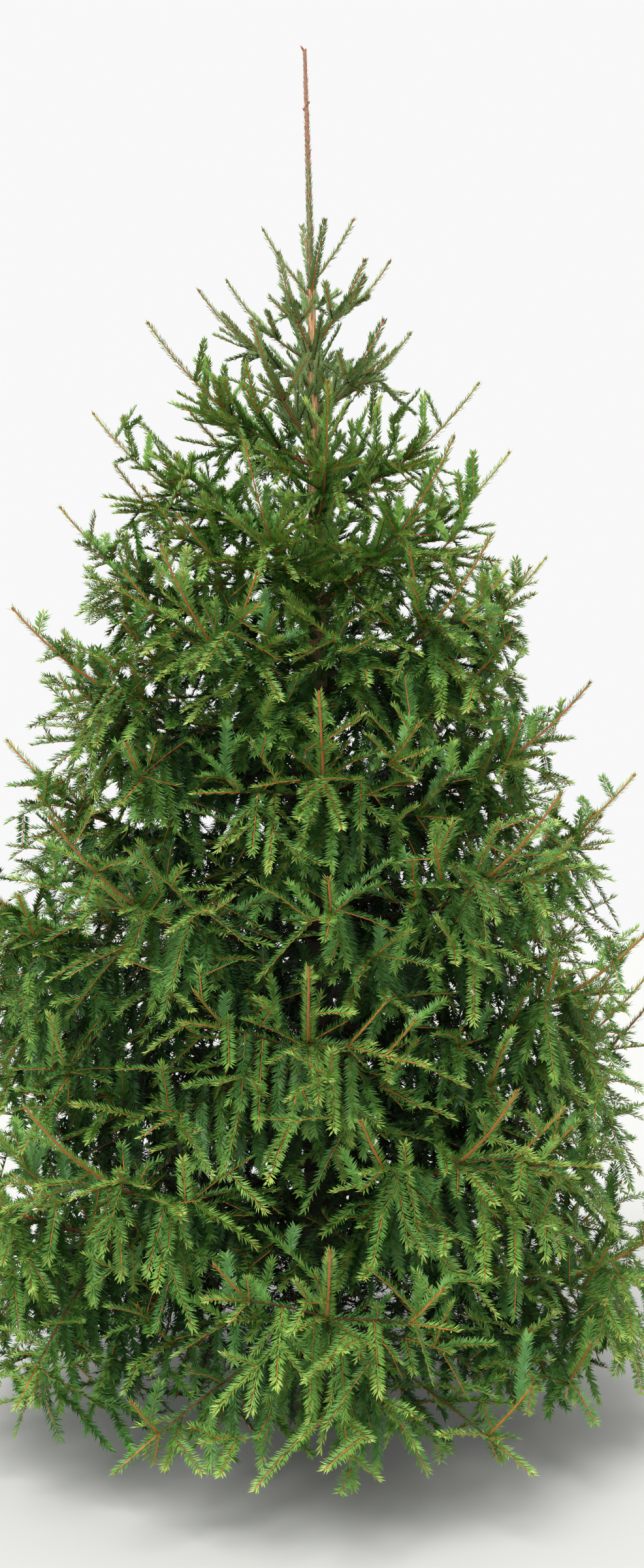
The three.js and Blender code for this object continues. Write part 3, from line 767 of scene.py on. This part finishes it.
class Wire:
    # an output socket: arithmetic on it adds Math nodes
    def __init__(self, board, socket):
        self.board = board
        self.socket = socket

    def maths(self, operation, a, b):
        return self.board.node("ShaderNodeMath", {"operation": operation}, {0: a, 1: b})["Value"]

    def __add__(self, other):
        return self.maths("ADD", self, other)

    def __sub__(self, other):
        return self.maths("SUBTRACT", self, other)

    def __rsub__(self, other):
        return self.maths("SUBTRACT", other, self)

    def __mul__(self, other):
        return self.maths("MULTIPLY", self, other)

    __radd__ = __add__
    __rmul__ = __mul__


class Board:
    # one material's nodes, added by type with settings first and then socket values or links
    def __init__(self, name):
        self.material = bpy.data.materials.new(name)
        self.material.use_nodes = True
        self.tree = self.material.node_tree
        self.tree.nodes.clear()

    # the outputs of a new node, by name and by number
    def node(self, kind, settings, sockets):
        made = self.tree.nodes.new(kind)
        for setting, value in settings.items():
            setattr(made, setting, value)
        for name, value in sockets.items():
            if isinstance(value, Wire):
                self.tree.links.new(value.socket, made.inputs[name])
            else:
                made.inputs[name].default_value = value
        wires = [Wire(self, output) for output in made.outputs]
        return {output.name: wire for output, wire in zip(made.outputs, wires)} | dict(enumerate(wires))

    def place(self):
        return self.node("ShaderNodeTexCoord", {}, {})["Object"]

    def stretched(self, place, share):
        return self.node("ShaderNodeMapping", {}, {"Vector": place, "Scale": (1, 1, share)})["Vector"]

    def noise(self, place, scale, detail):
        return self.node("ShaderNodeTexNoise", {}, {"Vector": place, "Scale": scale, "Detail": detail})["Fac"]

    def grain(self, place, look):
        return self.noise(place, look["grainScale"], look["grainDetail"])

    def cells(self, place, scale):
        sockets = {"Vector": place, "Scale": scale}
        return self.node("ShaderNodeTexVoronoi", {"feature": "F1"}, sockets)["Distance"]

    # 0 at low, 1 at high
    def between(self, value, low, high, kind="LINEAR"):
        sockets = {"Value": value, "From Min": low, "From Max": high}
        return self.node("ShaderNodeMapRange", {"interpolation_type": kind}, sockets)["Result"]

    # a colour from low to high, both given as they look on a screen or as other colours of the board
    def blend(self, share, low, high):
        low, high = (value if isinstance(value, Wire) else screenColour(*value) for value in (low, high))
        return self.node("ShaderNodeMix", {"data_type": "RGBA"}, {0: share, 6: low, 7: high})[2]

    # the shader: the pattern varies the look's roughness, and the height is the pattern or another one
    def finish(self, colour, look, pattern=0.5, height=None):
        sockets = {
            "Base Color": colour if isinstance(colour, Wire) else screenColour(*colour),
            "Roughness": look["roughness"] + look["roughnessVary"] * (pattern - 0.5),
            "Specular IOR Level": look.get("specular", 0.5),
        }
        if "bump" in look:
            strength, distance = look["bump"]
            bump = {"Height": height or pattern, "Strength": strength, "Distance": distance}
            sockets["Normal"] = self.node("ShaderNodeBump", {}, bump)["Normal"]
        shader = self.node("ShaderNodeBsdfPrincipled", {}, sockets)["BSDF"]
        self.node("ShaderNodeOutputMaterial", {}, {"Surface": shader})
        return self.material


# A colour as it is seen on a screen, 0 to 255, made into the linear one that a shader takes
def screenColour(red, green, blue):
    shares = (red / 255, green / 255, blue / 255)
    linear = [c / 12.92 if c <= 0.04045 else ((c + 0.055) / 1.055) ** 2.4 for c in shares]
    return (*linear, 1)


needleLook = {
    # the darkest tones are painted shade for needles deep inside the crown, and the lighter ones are partly
    # newer growth
    "tones": [
        ("needleInner", (27, 51, 27)), ("needleShade", (38, 69, 33)), ("needleOld", (50, 90, 40)),
        ("needleGreen", (64, 111, 46)), ("needleFresh", (87, 134, 54)), ("needleBright", (115, 158, 66)),
        ("needleTip", (153, 183, 86)), ("needleDusk", (112, 144, 80)), ("needleDusty", (148, 174, 112)),
    ],
    "leaderTones": [
        ("needlePale", (160, 160, 118)), ("needleRosy", (184, 138, 114)), ("needleGrey", (108, 130, 80)),
    ],
    "plainTones": 7, "dustyFrom": 8, "duskBelow": -0.2,
    "grainScale": 14, "grainDetail": 2, "roughness": 0.5, "roughnessVary": 0.24, "specular": 0.35,
    # what makes a path's tone lighter: its place in the crown, its kind and chance; newer outer growth is
    # lighter, and the dark inner tones are also painted shade
    "seenFrom": (0.25, 1.0), "upperSeen": 0.86, "seenShare": 0.72, "least": 0.12, "upperSkyLight": 0.1,
    "vary": 0.16,
    "kinds": {"stem": -0.22, "lateral": -0.12, "leading": 0.12, "end": 0.1, "candle": 0.14, "shoot": 0.04},
    "newFrom": 0.78,
}


# The finish of each tone: one colour, with a roughness and any bump that follow the look's grain
def toneMaterials(look, tones):
    boards = [(Board(name), colour) for name, colour in look[tones]]
    return [board.finish(colour, look, board.grain(board.place(), look)) for board, colour in boards]


needleMaterials = toneMaterials(needleLook, "tones")
leaderMaterials = toneMaterials(needleLook, "leaderTones")

woodLook = {
    "tones": [("twigOld", (52, 38, 28)), ("twigBrown", (92, 56, 32)), ("twigNew", (184, 108, 50))],
    "brownFrom": 0.75, "newFrom": 0.6, "sides": 3, "rings": {"laterals": 5, "shoots": 3, "twigs": 2},
    "grainScale": 260, "grainDetail": 3, "bump": (0.5, 0.0006), "roughness": 0.68, "roughnessVary": 0.2,
    "specular": 0.3,
}
twigMaterials = toneMaterials(woodLook, "tones")


# Needles. Pairs of numbers are for the low whorls and for the top ones, and angles are in degrees


needleShape = {
    "length": (0.0205, 0.0168), "lengthVary": 0.14, "width": 0.004, "endWidth": (0.54, 0.74),
    "plainWidth": 1.6, "fold": 0.34, "widest": 0.4, "fewest": 4, "perMetre": 720, "topPerMetre": 950,
    "stemShare": 0.5, "lateralShare": 0.75, "endShare": 1.45, "innerShare": 0.55, "fullFrom": (0.3, 0.75),
    "tipShare": 1.35, "tipWhorls": (7, 9), "plainFrom": 0.8, "openLevel": 7, "upperFrom": (4.5, 8.0),
    "spacingVary": 0.8, "beside": (0.74, 0.55), "besideRoll": 78, "besideVary": 26, "aboveVary": 65,
    "lean": 24, "besideLift": (58, 40), "aboveLift": (40, 32), "endLift": 8, "liftVary": 7,
    "closingFrom": 0.86, "closingLift": 26, "closingShorter": 0.15, "sunk": 0.7, "tiltVary": 0.5,
    "firstSeed": 101, "pieceLimit": 190000,
}


# The tone of a path's needles: lighter towards the outside of the crown and on the newest wood. Newer growth
# is lighter in itself; the darkening inside the crown is also painted shade, and the lightening of the top is
# painted sky light
def toneOf(path):
    look = needleLook
    vary = shake(path.key, 31)
    # the top whorls take pale grey-green tones, their own hue made lighter as painted sky light
    if path.bough.level >= look["dustyFrom"]:
        return look["plainTones"] + (vary > look["duskBelow"])
    upper = upperShare(path.bough.level)
    seen = max(smoothStep(*look["seenFrom"], path.outer), look["upperSeen"] * upper)
    lit = look["seenShare"] * seen + look["least"] + look["kinds"][path.kind]
    # the upper crown is made lighter as painted sky light
    lit += look["upperSkyLight"] * upper + look["vary"] * vary
    return int(np.clip(lit, 0, 0.999) * (look["plainTones"] - 1))


# A needle is a folded kite of two faces, and a plain spike of one where the crown hides it
def isPlain(path):
    return path.outer < needleShape["plainFrom"] and path.bough.level < needleShape["openLevel"]


# How many needles a path carries: its length times a density that is less on old and inner wood
def needlesOn(path):
    shape = needleShape
    shares = {"stem": "stemShare", "lateral": "lateralShare", "end": "endShare", "candle": "endShare"}
    share = shape[shares[path.kind]] if path.kind in shares else 1
    share *= mix(shape["innerShare"], 1, smoothStep(*shape["fullFrom"], path.outer))
    top = shape["topPerMetre"] * mix(1, shape["tipShare"], smoothStep(*shape["tipWhorls"], path.bough.level))
    density = mix(shape["perMetre"] * share, top, upperShare(path.bough.level))
    return max(shape["fewest"], round(path.length * density))


# The needles of a group of paths. Each starts on its twig's skin and leaves it at the angle of lift,
# on the side that roll gives: 0 is the top of the twig, and it grows to its left
def growNeedles(group, random):
    shape = needleShape
    counts = np.array([needlesOn(path) for path in group])
    total = counts.sum()
    owner = np.repeat(np.arange(len(group)), counts)

    # one fact of each path, repeated for each of its needles
    def forEach(fact):
        return np.array([fact(path) for path in group])[owner]

    order = np.arange(total) - np.repeat(np.cumsum(counts) - counts, counts)
    lines = np.array([path.points for path in group])
    v = (order + 0.5 + shape["spacingVary"] * (random.random(total) - 0.5)) / counts[owner]
    place = v * (fine["samples"] - 1)
    step = np.minimum(place.astype(int), fine["samples"] - 2)
    share = (place - step)[:, None]
    before, after = lines[owner, step], lines[owner, step + 1]
    tangent = unit(after - before)
    left = leftOf(tangent)
    top = np.cross(tangent, left)

    # most needles part to both sides, and the others stand above or, on last shoots, all round
    upper = smoothStep(*shape["upperFrom"], forEach(lambda path: path.bough.level))
    beside = random.random(total) < mix(*shape["beside"], upper)
    besideRoll = shape["besideRoll"] + shape["besideVary"] * scatter(random, total)
    aboveRoll = shape["aboveVary"] * scatter(random, total)
    roll = np.where(beside, np.where(order % 2 == 0, 1.0, -1.0) * besideRoll, aboveRoll)
    isEnd = forEach(lambda path: path.kind in ("end", "candle"))
    roll = np.where(isEnd & ~beside, 180 * scatter(random, total), roll)
    roll = np.radians(roll + forEach(lambda path: shape["lean"] * shake(path.key, 32)))
    lifts = [np.where(beside, *pair) for pair in zip(shape["besideLift"], shape["aboveLift"])]
    closing = smoothStep(shape["closingFrom"], 1, v)
    closing = closing * forEach(lambda path: path.kind not in ("stem", "lateral"))
    lift = mix(*lifts, upper) - shape["endLift"] * isEnd * (1 - upper)
    lift = mix(lift, shape["closingLift"], closing) + shape["liftVary"] * scatter(random, total)
    lift = np.radians(lift)
    outward = np.cos(roll)[:, None] * top + np.sin(roll)[:, None] * left
    direction = np.cos(lift)[:, None] * tangent + np.sin(lift)[:, None] * outward
    length = mix(*shape["length"], upper) * (1 + shape["lengthVary"] * scatter(random, total))
    length = length * (1 - shape["closingShorter"] * closing)
    radius = mix(forEach(lambda path: path.base), forEach(lambda path: path.end), v)

    foot = mix(before, after, share) + outward * radius[:, None] * shape["sunk"]
    tip = foot + direction * length[:, None]
    tilt = shape["tiltVary"] * (random.random((total, 1)) - 0.5)
    across = unit(np.cross(direction, top) + tilt * top)
    ridge = np.cross(across, direction)
    half = 0.5 * shape["width"] * mix(1, mix(*shape["endWidth"], upper), isEnd)[:, None]
    middle = foot + direction * (length * shape["widest"])[:, None] - 2 * ridge * shape["fold"] * half
    kites = np.stack([foot, middle + across * half, tip, middle - across * half], axis=1)
    tones = forEach(toneOf)
    isMidTone = (tones > 2) & (tones < needleLook["plainTones"] - 1)
    tones = tones + ((v > needleLook["newFrom"]) & (closing > 0) & isMidTone)
    plain = forEach(isPlain)
    wide = across * half * shape["plainWidth"]
    spikes = np.stack([foot + wide, tip, foot - wide], axis=1)[plain]
    kites = kites[~plain]
    spikeFaces = np.arange(3 * len(spikes)).reshape(-1, 3) + 4 * len(kites)
    points = np.concatenate([kites.reshape(-1, 3), spikes.reshape(-1, 3)])
    faces = np.concatenate([kiteFaces(len(kites)), spikeFaces])
    return points, faces, np.concatenate([np.repeat(tones[~plain], 2), tones[plain]])


# Groups of whole boughs whose needles stay within the limit of one piece
def needleGroups():
    group = []
    size = 0
    for bough in everyBough:
        own = [path for path in paths if path.bough is bough]
        faces = sum(needlesOn(path) * (2 - isPlain(path)) for path in own)
        if group and size + faces > needleShape["pieceLimit"]:
            yield group
            group, size = [], 0
        group += own
        size += faces
    yield group


faceCount = 0
for number, group in enumerate(needleGroups()):
    random = np.random.default_rng(needleShape["firstSeed"] + number)
    points, faces, slots = growNeedles(group, random)
    piece = writeMesh(f"needles_{number + 1}", points, faces, needleMaterials, slots)
    named = sorted({f"foliage_{path.bough.name}" for path in group})
    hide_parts(*named)
    faceCount += len(faces)
print(f"needles: {faceCount} faces")


# Twigs


# Which of the wood's tones a path has: old inside, brown between and new outside
def woodOf(path):
    if path.kind == "lateral":
        return 0 if path.outer < woodLook["brownFrom"] else 1
    return 2 if path.outer > woodLook["newFrom"] else 1


# Three-sided tubes, with more rings where a twig is longer
def growTwigWood():
    sides = woodLook["sides"]
    shoots = [path for path in paths if path.kind in ("leading", "shoot", "candle")]
    groups = {
        "laterals": [path for path in paths if path.kind == "lateral"],
        "shoots": [path for path in shoots if path.length > fine["ringLength"]],
        "twigs": [path for path in shoots if path.length <= fine["ringLength"]],
    }
    for name, group in groups.items():
        rings = woodLook["rings"][name]
        pick = np.linspace(0, fine["samples"] - 1, rings).astype(int)
        centres = np.array([path.points[pick] for path in group])
        share = np.linspace(0, 1, rings)
        radii = np.array([mix(path.base, path.end, share) for path in group])
        points = tubePoints(centres, radii, sides)
        faces = tubeFaces(len(group), rings, sides)
        tones = np.array([woodOf(path) for path in group])
        walls, caps = np.repeat(tones, sides * (rings - 1)), np.repeat(tones, sides)
        slots = np.concatenate([walls, walls, caps, caps])
        piece = writeMesh(f"wood_{name}", points, faces, twigMaterials, slots)
        print(f"{name}: {len(group)} twigs, {len(faces)} faces")


growTwigWood()

# Buds

budLook = {
    "length": 0.0062, "radius": 0.0019, "sides": 4, "from": 0.72, "keep": 0.6, "lengthVary": 0.2,
    "tipLength": 0.0085, "tipRadius": 0.0028, "back": 0.0015,
    "aside": 3, "asideFrom": 0.85, "asideSpread": 48, "asideVary": 0.5, "asideBack": 0.3, "asideSize": 0.8,
    # where the rings are along a bud, and how wide they are: it swells in the middle
    "rings": (0.12, 0.55, 0.9), "widths": (0.8, 1.0, 0.4), "tipOut": 0.0008,
    # on the leader: height, direction round it, degrees from upright, length, radius
    "leaderSunk": 0.5,
    "leader": (
        (3.487, -90, 30, 0.019, 0.0027), (3.352, 80, 40, 0.012, 0.003), (3.335, -84, 42, 0.013, 0.0032),
        (3.345, 10, 45, 0.011, 0.0028), (3.293, -110, 40, 0.009, 0.0024), (3.487, 70, 25, 0.009, 0.0022),
    ),
    "scaleSize": 700, "light": (176, 104, 54), "dark": (122, 64, 34), "bump": (0.5, 0.0005),
    "roughness": 0.57, "roughnessVary": 0.2,
}


def budMaterial():
    board = Board("budScales")
    scales = board.cells(board.place(), budLook["scaleSize"])
    return board.finish(board.blend(scales, budLook["light"], budLook["dark"]), budLook, scales)


# Where buds sit, as (foot, direction, length, radius): one at each outer tip, and more round a bough's tip
def budPlaces():
    look = budLook
    places = []
    for z, azimuth, spread, length, radius in look["leader"]:
        spread = math.radians(spread)
        outward = outwardAt(math.radians(azimuth))
        direction = math.cos(spread) * upward + math.sin(spread) * outward
        foot = trunkCentre(z) + look["leaderSunk"] * trunkRadius(z) * outward
        places.append((foot, direction, length, radius))
    for path in paths:
        isEnd = path.kind in ("end", "candle")
        if path.kind in ("stem", "lateral") or path.outer < look["from"]:
            continue
        if not isEnd and shake(path.key, 51) > 2 * look["keep"] - 1:
            continue
        tangent = unit(path.points[-1] - path.points[-2])
        length, radius = (look["tipLength"], look["tipRadius"]) if isEnd else (look["length"], look["radius"])
        length *= 1 + look["lengthVary"] * shake(path.key, 52)
        foot = path.points[-1] - look["back"] * tangent
        places.append((foot, tangent, length, radius))
        if not (isEnd or (path.kind == "leading" and path.outer > look["asideFrom"])):
            continue
        foot = foot - look["asideBack"] * length * tangent
        for number in range(look["aside"]):
            roll = number + look["asideVary"] * shake(path.key + number, 53)
            roll *= 2 * math.pi / look["aside"]
            direction = awayFrom(tangent, look["asideSpread"], roll)
            places.append((foot, direction, look["asideSize"] * length, look["asideSize"] * radius))
    return places


# Each bud is a short tube along its direction
def budPiece():
    foot, direction, length, radius = (np.array(fact) for fact in zip(*budPlaces()))
    along = length[:, None] * np.array(budLook["rings"])
    centres = foot[:, None, :] + direction[:, None, :] * along[:, :, None]
    radii = radius[:, None] * np.array(budLook["widths"])
    points = tubePoints(centres, radii, budLook["sides"], tipOut=budLook["tipOut"])
    faces = tubeFaces(len(foot), len(budLook["rings"]), budLook["sides"])
    piece = writeMesh("buds", points, faces, [budMaterial()], smooth=True)
    print(f"buds: {len(foot)}, {len(faces)} faces")


budPiece()


# Bark

barkLook = {
    "sides": 28, "ringStep": 0.009, "ringPower": 1.15, "tipOut": 0.002,
    # ridges run up the stem, swing to and fro along it, and are broken into flakes
    "relief": 0.0011, "fullRelief": 0.02, "ridges": 9, "swing": 14, "swingPace": 3.1,
    "flakePace": 130, "flakeTwist": 3, "flakeTurns": 4,
    # the old bark's grey-browns are its own colour made darker as painted shade of the crown's inside
    "oldAndShaded": ((44, 35, 28), (90, 74, 60)), "young": ((132, 86, 52), (222, 176, 124)), "youngFrom": (1.6, 2.5),
    "stretch": 0.28, "flakeScale": 95, "grainScale": 180, "grainDetail": 6,
    "stripeStretch": 0.09, "stripeScale": 230, "stripeDetail": 3, "stripeRange": (0.4, 0.62),
    "lightParts": (0.7, 0.3), "bumpParts": (0.4, 0.3, 0.5),
    "bump": (0.8, 0.002), "roughness": 0.72, "roughnessVary": 0.2,
}


# Old bark is flaky and grey-brown, darkened also as painted shade of the crown's inside, and turns to striped
# orange young bark with the height
def barkMaterial(name):
    board = Board(name)
    place = board.place()
    height = board.node("ShaderNodeSeparateXYZ", {}, {"Vector": place})["Z"]
    young = board.between(height, *barkLook["youngFrom"], "SMOOTHSTEP")
    drawn = board.stretched(place, barkLook["stretch"])
    flakes = board.cells(drawn, barkLook["flakeScale"])
    grain = board.grain(drawn, barkLook)
    drawn = board.stretched(place, barkLook["stripeStretch"])
    stripes = board.noise(drawn, barkLook["stripeScale"], barkLook["stripeDetail"])
    ofStripes, ofGrain = barkLook["lightParts"]
    light = board.between(ofStripes * stripes + ofGrain * grain, *barkLook["stripeRange"])
    oldAndShaded = board.blend(grain, *barkLook["oldAndShaded"])
    fresh = board.blend(light, *barkLook["young"])
    ofFlakes, ofGrain, ofStripes = barkLook["bumpParts"]
    relief = ofFlakes * flakes + ofGrain * grain + ofStripes * stripes
    return board.finish(board.blend(young, oldAndShaded, fresh), barkLook, grain, relief)


# The trunk is one tube, its rings closer low down: each radius is the trunk's, with the root flare,
# its lobes and the ridges of the bark
def trunkPiece():
    look = barkLook
    top = trunk["height"] - trunk["budLength"]
    z = np.linspace(0, 1, int(top / look["ringStep"])) ** look["ringPower"] * top
    sides = look["sides"]
    angle = np.arange(sides) * 2 * math.pi / sides
    low = np.exp(-z / trunk["flareHeight"])[:, None]
    lobes = 1 + trunk["lobeDepth"] * low * np.cos(trunk["rootLobes"] * angle)
    radius = trunkRadius(z)
    ridges = np.sin(look["ridges"] * angle + look["swing"] * np.sin(z * look["swingPace"])[:, None])
    flakes = np.sin(z[:, None] * look["flakePace"] + look["flakeTwist"] * np.sin(look["flakeTurns"] * angle))
    relief = look["relief"] * (ridges * flakes) * np.minimum(1, radius / look["fullRelief"])[:, None]
    around = (radius[:, None] + trunk["flare"] * low) * lobes + relief
    points = (trunkCentre(z)[:, None, :] + around[:, :, None] * outwardAt(angle)).reshape(-1, 3)
    poles = np.stack([trunkCentre(0.0), trunkCentre(top + look["tipOut"])])
    faces = tubeFaces(1, len(z), sides)
    points = np.concatenate([points, poles])
    piece = writeMesh("trunkBark", points, faces, [barkMaterial("barkOfTrunk")], smooth=True)
    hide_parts("trunk")


trunkPiece()

leaderLook = {
    "from": 2.88, "to": 3.485, "count": 1150, "spacingVary": 0.6, "turnVary": 0.5, "lift": 25, "liftVary": 10,
    "length": 0.018, "shorter": 0.55, "shortest": 0.85, "lengthVary": 0.3, "width": 0.0034, "widest": 0.4,
    "sunk": 0.92, "rosyFrom": (0.3, 0.8), "greyShare": 0.6, "seed": 51,
}


# Needles that lie along the leader: flat kites set in a spiral, shorter and rosier towards the tip
def leaderPiece():
    look = leaderLook
    random = np.random.default_rng(look["seed"])
    count = look["count"]
    share = (np.arange(count) + look["spacingVary"] * random.random(count)) / count
    z = mix(look["from"], look["to"], share)
    turn = np.arange(count) * math.radians(goldenTurn) + look["turnVary"] * random.random(count)
    outward = outwardAt(turn)
    lift = np.radians(look["lift"] + look["liftVary"] * scatter(random, count))[:, None]
    direction = np.cos(lift) * upward + np.sin(lift) * outward
    length = look["length"] * mix(1, look["shorter"], share)
    length = length * (look["shortest"] + look["lengthVary"] * random.random(count))
    foot = trunkCentre(z) + outward * (trunkRadius(z) * look["sunk"])[:, None]
    across = unit(np.cross(direction, outward)) * (0.5 * look["width"])
    middle = foot + direction * (look["widest"] * length)[:, None]
    tip = foot + direction * length[:, None]
    points = np.stack([foot, middle + across, tip, middle - across], axis=1).reshape(-1, 3)
    isRosy = random.random(count) < smoothStep(*look["rosyFrom"], share)
    slots = np.where(isRosy, 1, np.where(random.random(count) < look["greyShare"], 2, 0))
    piece = writeMesh("needles_leader", points, kiteFaces(count), leaderMaterials, np.repeat(slots, 2))


leaderPiece()

limbLook = {
    "sides": 8, "rings": 30, "collar": 0.034, "swelling": 0.5, "taper": 1.6, "tip": 0.0025, "tipOut": 0.004,
    "upperSize": 0.5, "upperTip": 0.64, "upperAge": 0.7,
    # the old wood's browns are its own colour made darker as painted shade of the crown's inside
    "oldAndShaded": ((40, 30, 23), (76, 58, 44)), "fresh": ((158, 86, 42), (210, 130, 70)), "freshFrom": (0.5, 0.8),
    "grainScale": 220, "grainDetail": 5, "bump": (0.7, 0.001), "roughness": 0.7, "roughnessVary": 0.2,
}


# The map's first coordinate is the age of the wood: 0 at the trunk and 1 at the tip; the old wood's dark
# grey-brown is partly painted shade of the crown's inside
def boughMaterial(name):
    board = Board(name)
    place = board.node("ShaderNodeTexCoord", {}, {})
    age = board.node("ShaderNodeSeparateXYZ", {}, {"Vector": place["UV"]})["X"]
    grain = board.grain(place["Object"], limbLook)
    oldAndShaded = board.blend(grain, *limbLook["oldAndShaded"])
    fresh = board.blend(grain, *limbLook["fresh"])
    new = board.between(age, *limbLook["freshFrom"], "SMOOTHSTEP")
    return board.finish(board.blend(new, oldAndShaded, fresh), limbLook, grain)


# Boughs are tubes on their middle lines: the radius falls with a power of what is left of the length,
# and swells to a collar at the trunk
def boughPiece():
    look = limbLook
    rings, sides = look["rings"], look["sides"]
    u = np.linspace(0, 1, rings)
    radii = []
    ages = []
    for bough in everyBough:
        upper = upperShare(bough.level)
        clear = np.maximum(0, bough.reach * u - trunkRadius(bough.height))
        collar = 1 + look["swelling"] * (1 - upper) * np.exp(-clear / look["collar"])
        wood = bough.whorl["limbRadius"] * mix(1, look["upperSize"], upper)
        tip = look["tip"] * mix(1, look["upperTip"], upper)
        radii.append((wood * (1 - u) ** look["taper"] + tip) * collar)
        ages += [np.repeat(np.maximum(u, look["upperAge"] * upper), sides), [0, 1]]
    centres = np.array([boughPoints(bough, u) for bough in everyBough])
    points = tubePoints(centres, np.array(radii), sides, tipOut=look["tipOut"])
    faces = tubeFaces(len(everyBough), rings, sides)
    ages = np.concatenate(ages)
    uv = np.stack([ages, np.zeros(len(ages))], axis=-1)
    piece = writeMesh("boughBark", points, faces, [boughMaterial("barkOfBoughs")], smooth=True, uv=uv)
    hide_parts(*[f"bough_{bough.name}" for bough in everyBough if bough.level < growth["limbWhorls"]])


boughPiece()
print("bark done")

# Floor, light and camera. The horizon lies some rows above the middle of the picture

studio = {
    "floor": 24.0, "floorColour": (192, 192, 189), "roughness": 0.9, "roughnessVary": 0.0,
    "sky": (1.0, 1.0, 1.0), "skyStrength": 0.94,
}
sun = {"azimuth": -25, "elevation": 56, "strength": 3.3, "softness": 35}
camera = {"place": (0.005, -4.8, 1.74), "focal": 2860, "long": 2400, "horizon": 70, "sensor": 36}


def makeStudio():
    half = studio["floor"] / 2
    corners = [(-half, -half, 0.0), (half, -half, 0.0), (half, half, 0.0), (-half, half, 0.0)]
    mesh = bpy.data.meshes.new("floor")
    mesh.from_pydata(corners, [], [(0, 1, 2, 3)])
    mesh.materials.append(Board("studioFloor").finish(studio["floorColour"], studio))
    placed("floor", mesh)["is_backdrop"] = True
    world = bpy.data.worlds.new("studio")
    bpy.context.scene.world = world
    world.use_nodes = True
    sky = world.node_tree.nodes["Background"]
    sky.inputs["Color"].default_value = (*studio["sky"], 1)
    sky.inputs["Strength"].default_value = studio["skyStrength"]


def addSun():
    light = bpy.data.lights.new("keyLight", "SUN")
    light.energy = sun["strength"]
    light.angle = math.radians(sun["softness"])
    turn, climb = math.radians(sun["azimuth"]), math.radians(sun["elevation"])
    toward = Vector((math.sin(turn) * math.cos(climb), -math.cos(turn) * math.cos(climb), math.sin(climb)))
    placed("keyLight", light).rotation_euler = toward.to_track_quat("Z", "Y").to_euler()


def makeCamera():
    lens = bpy.data.cameras.new("camera")
    lens.sensor_width = camera["sensor"]
    lens.lens = camera["sensor"] * camera["focal"] / camera["long"]
    made = placed("camera", lens)
    made.location = camera["place"]
    down = math.atan(camera["horizon"] / camera["focal"])
    made.rotation_euler = (math.pi / 2 - down, 0, 0)
    bpy.context.scene.camera = made


makeStudio()
addSun()
makeCamera()
bpy.context.scene.view_settings.view_transform = "Standard"

box = [[list(corner) for corner in pair] for pair in (cadBox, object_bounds())]
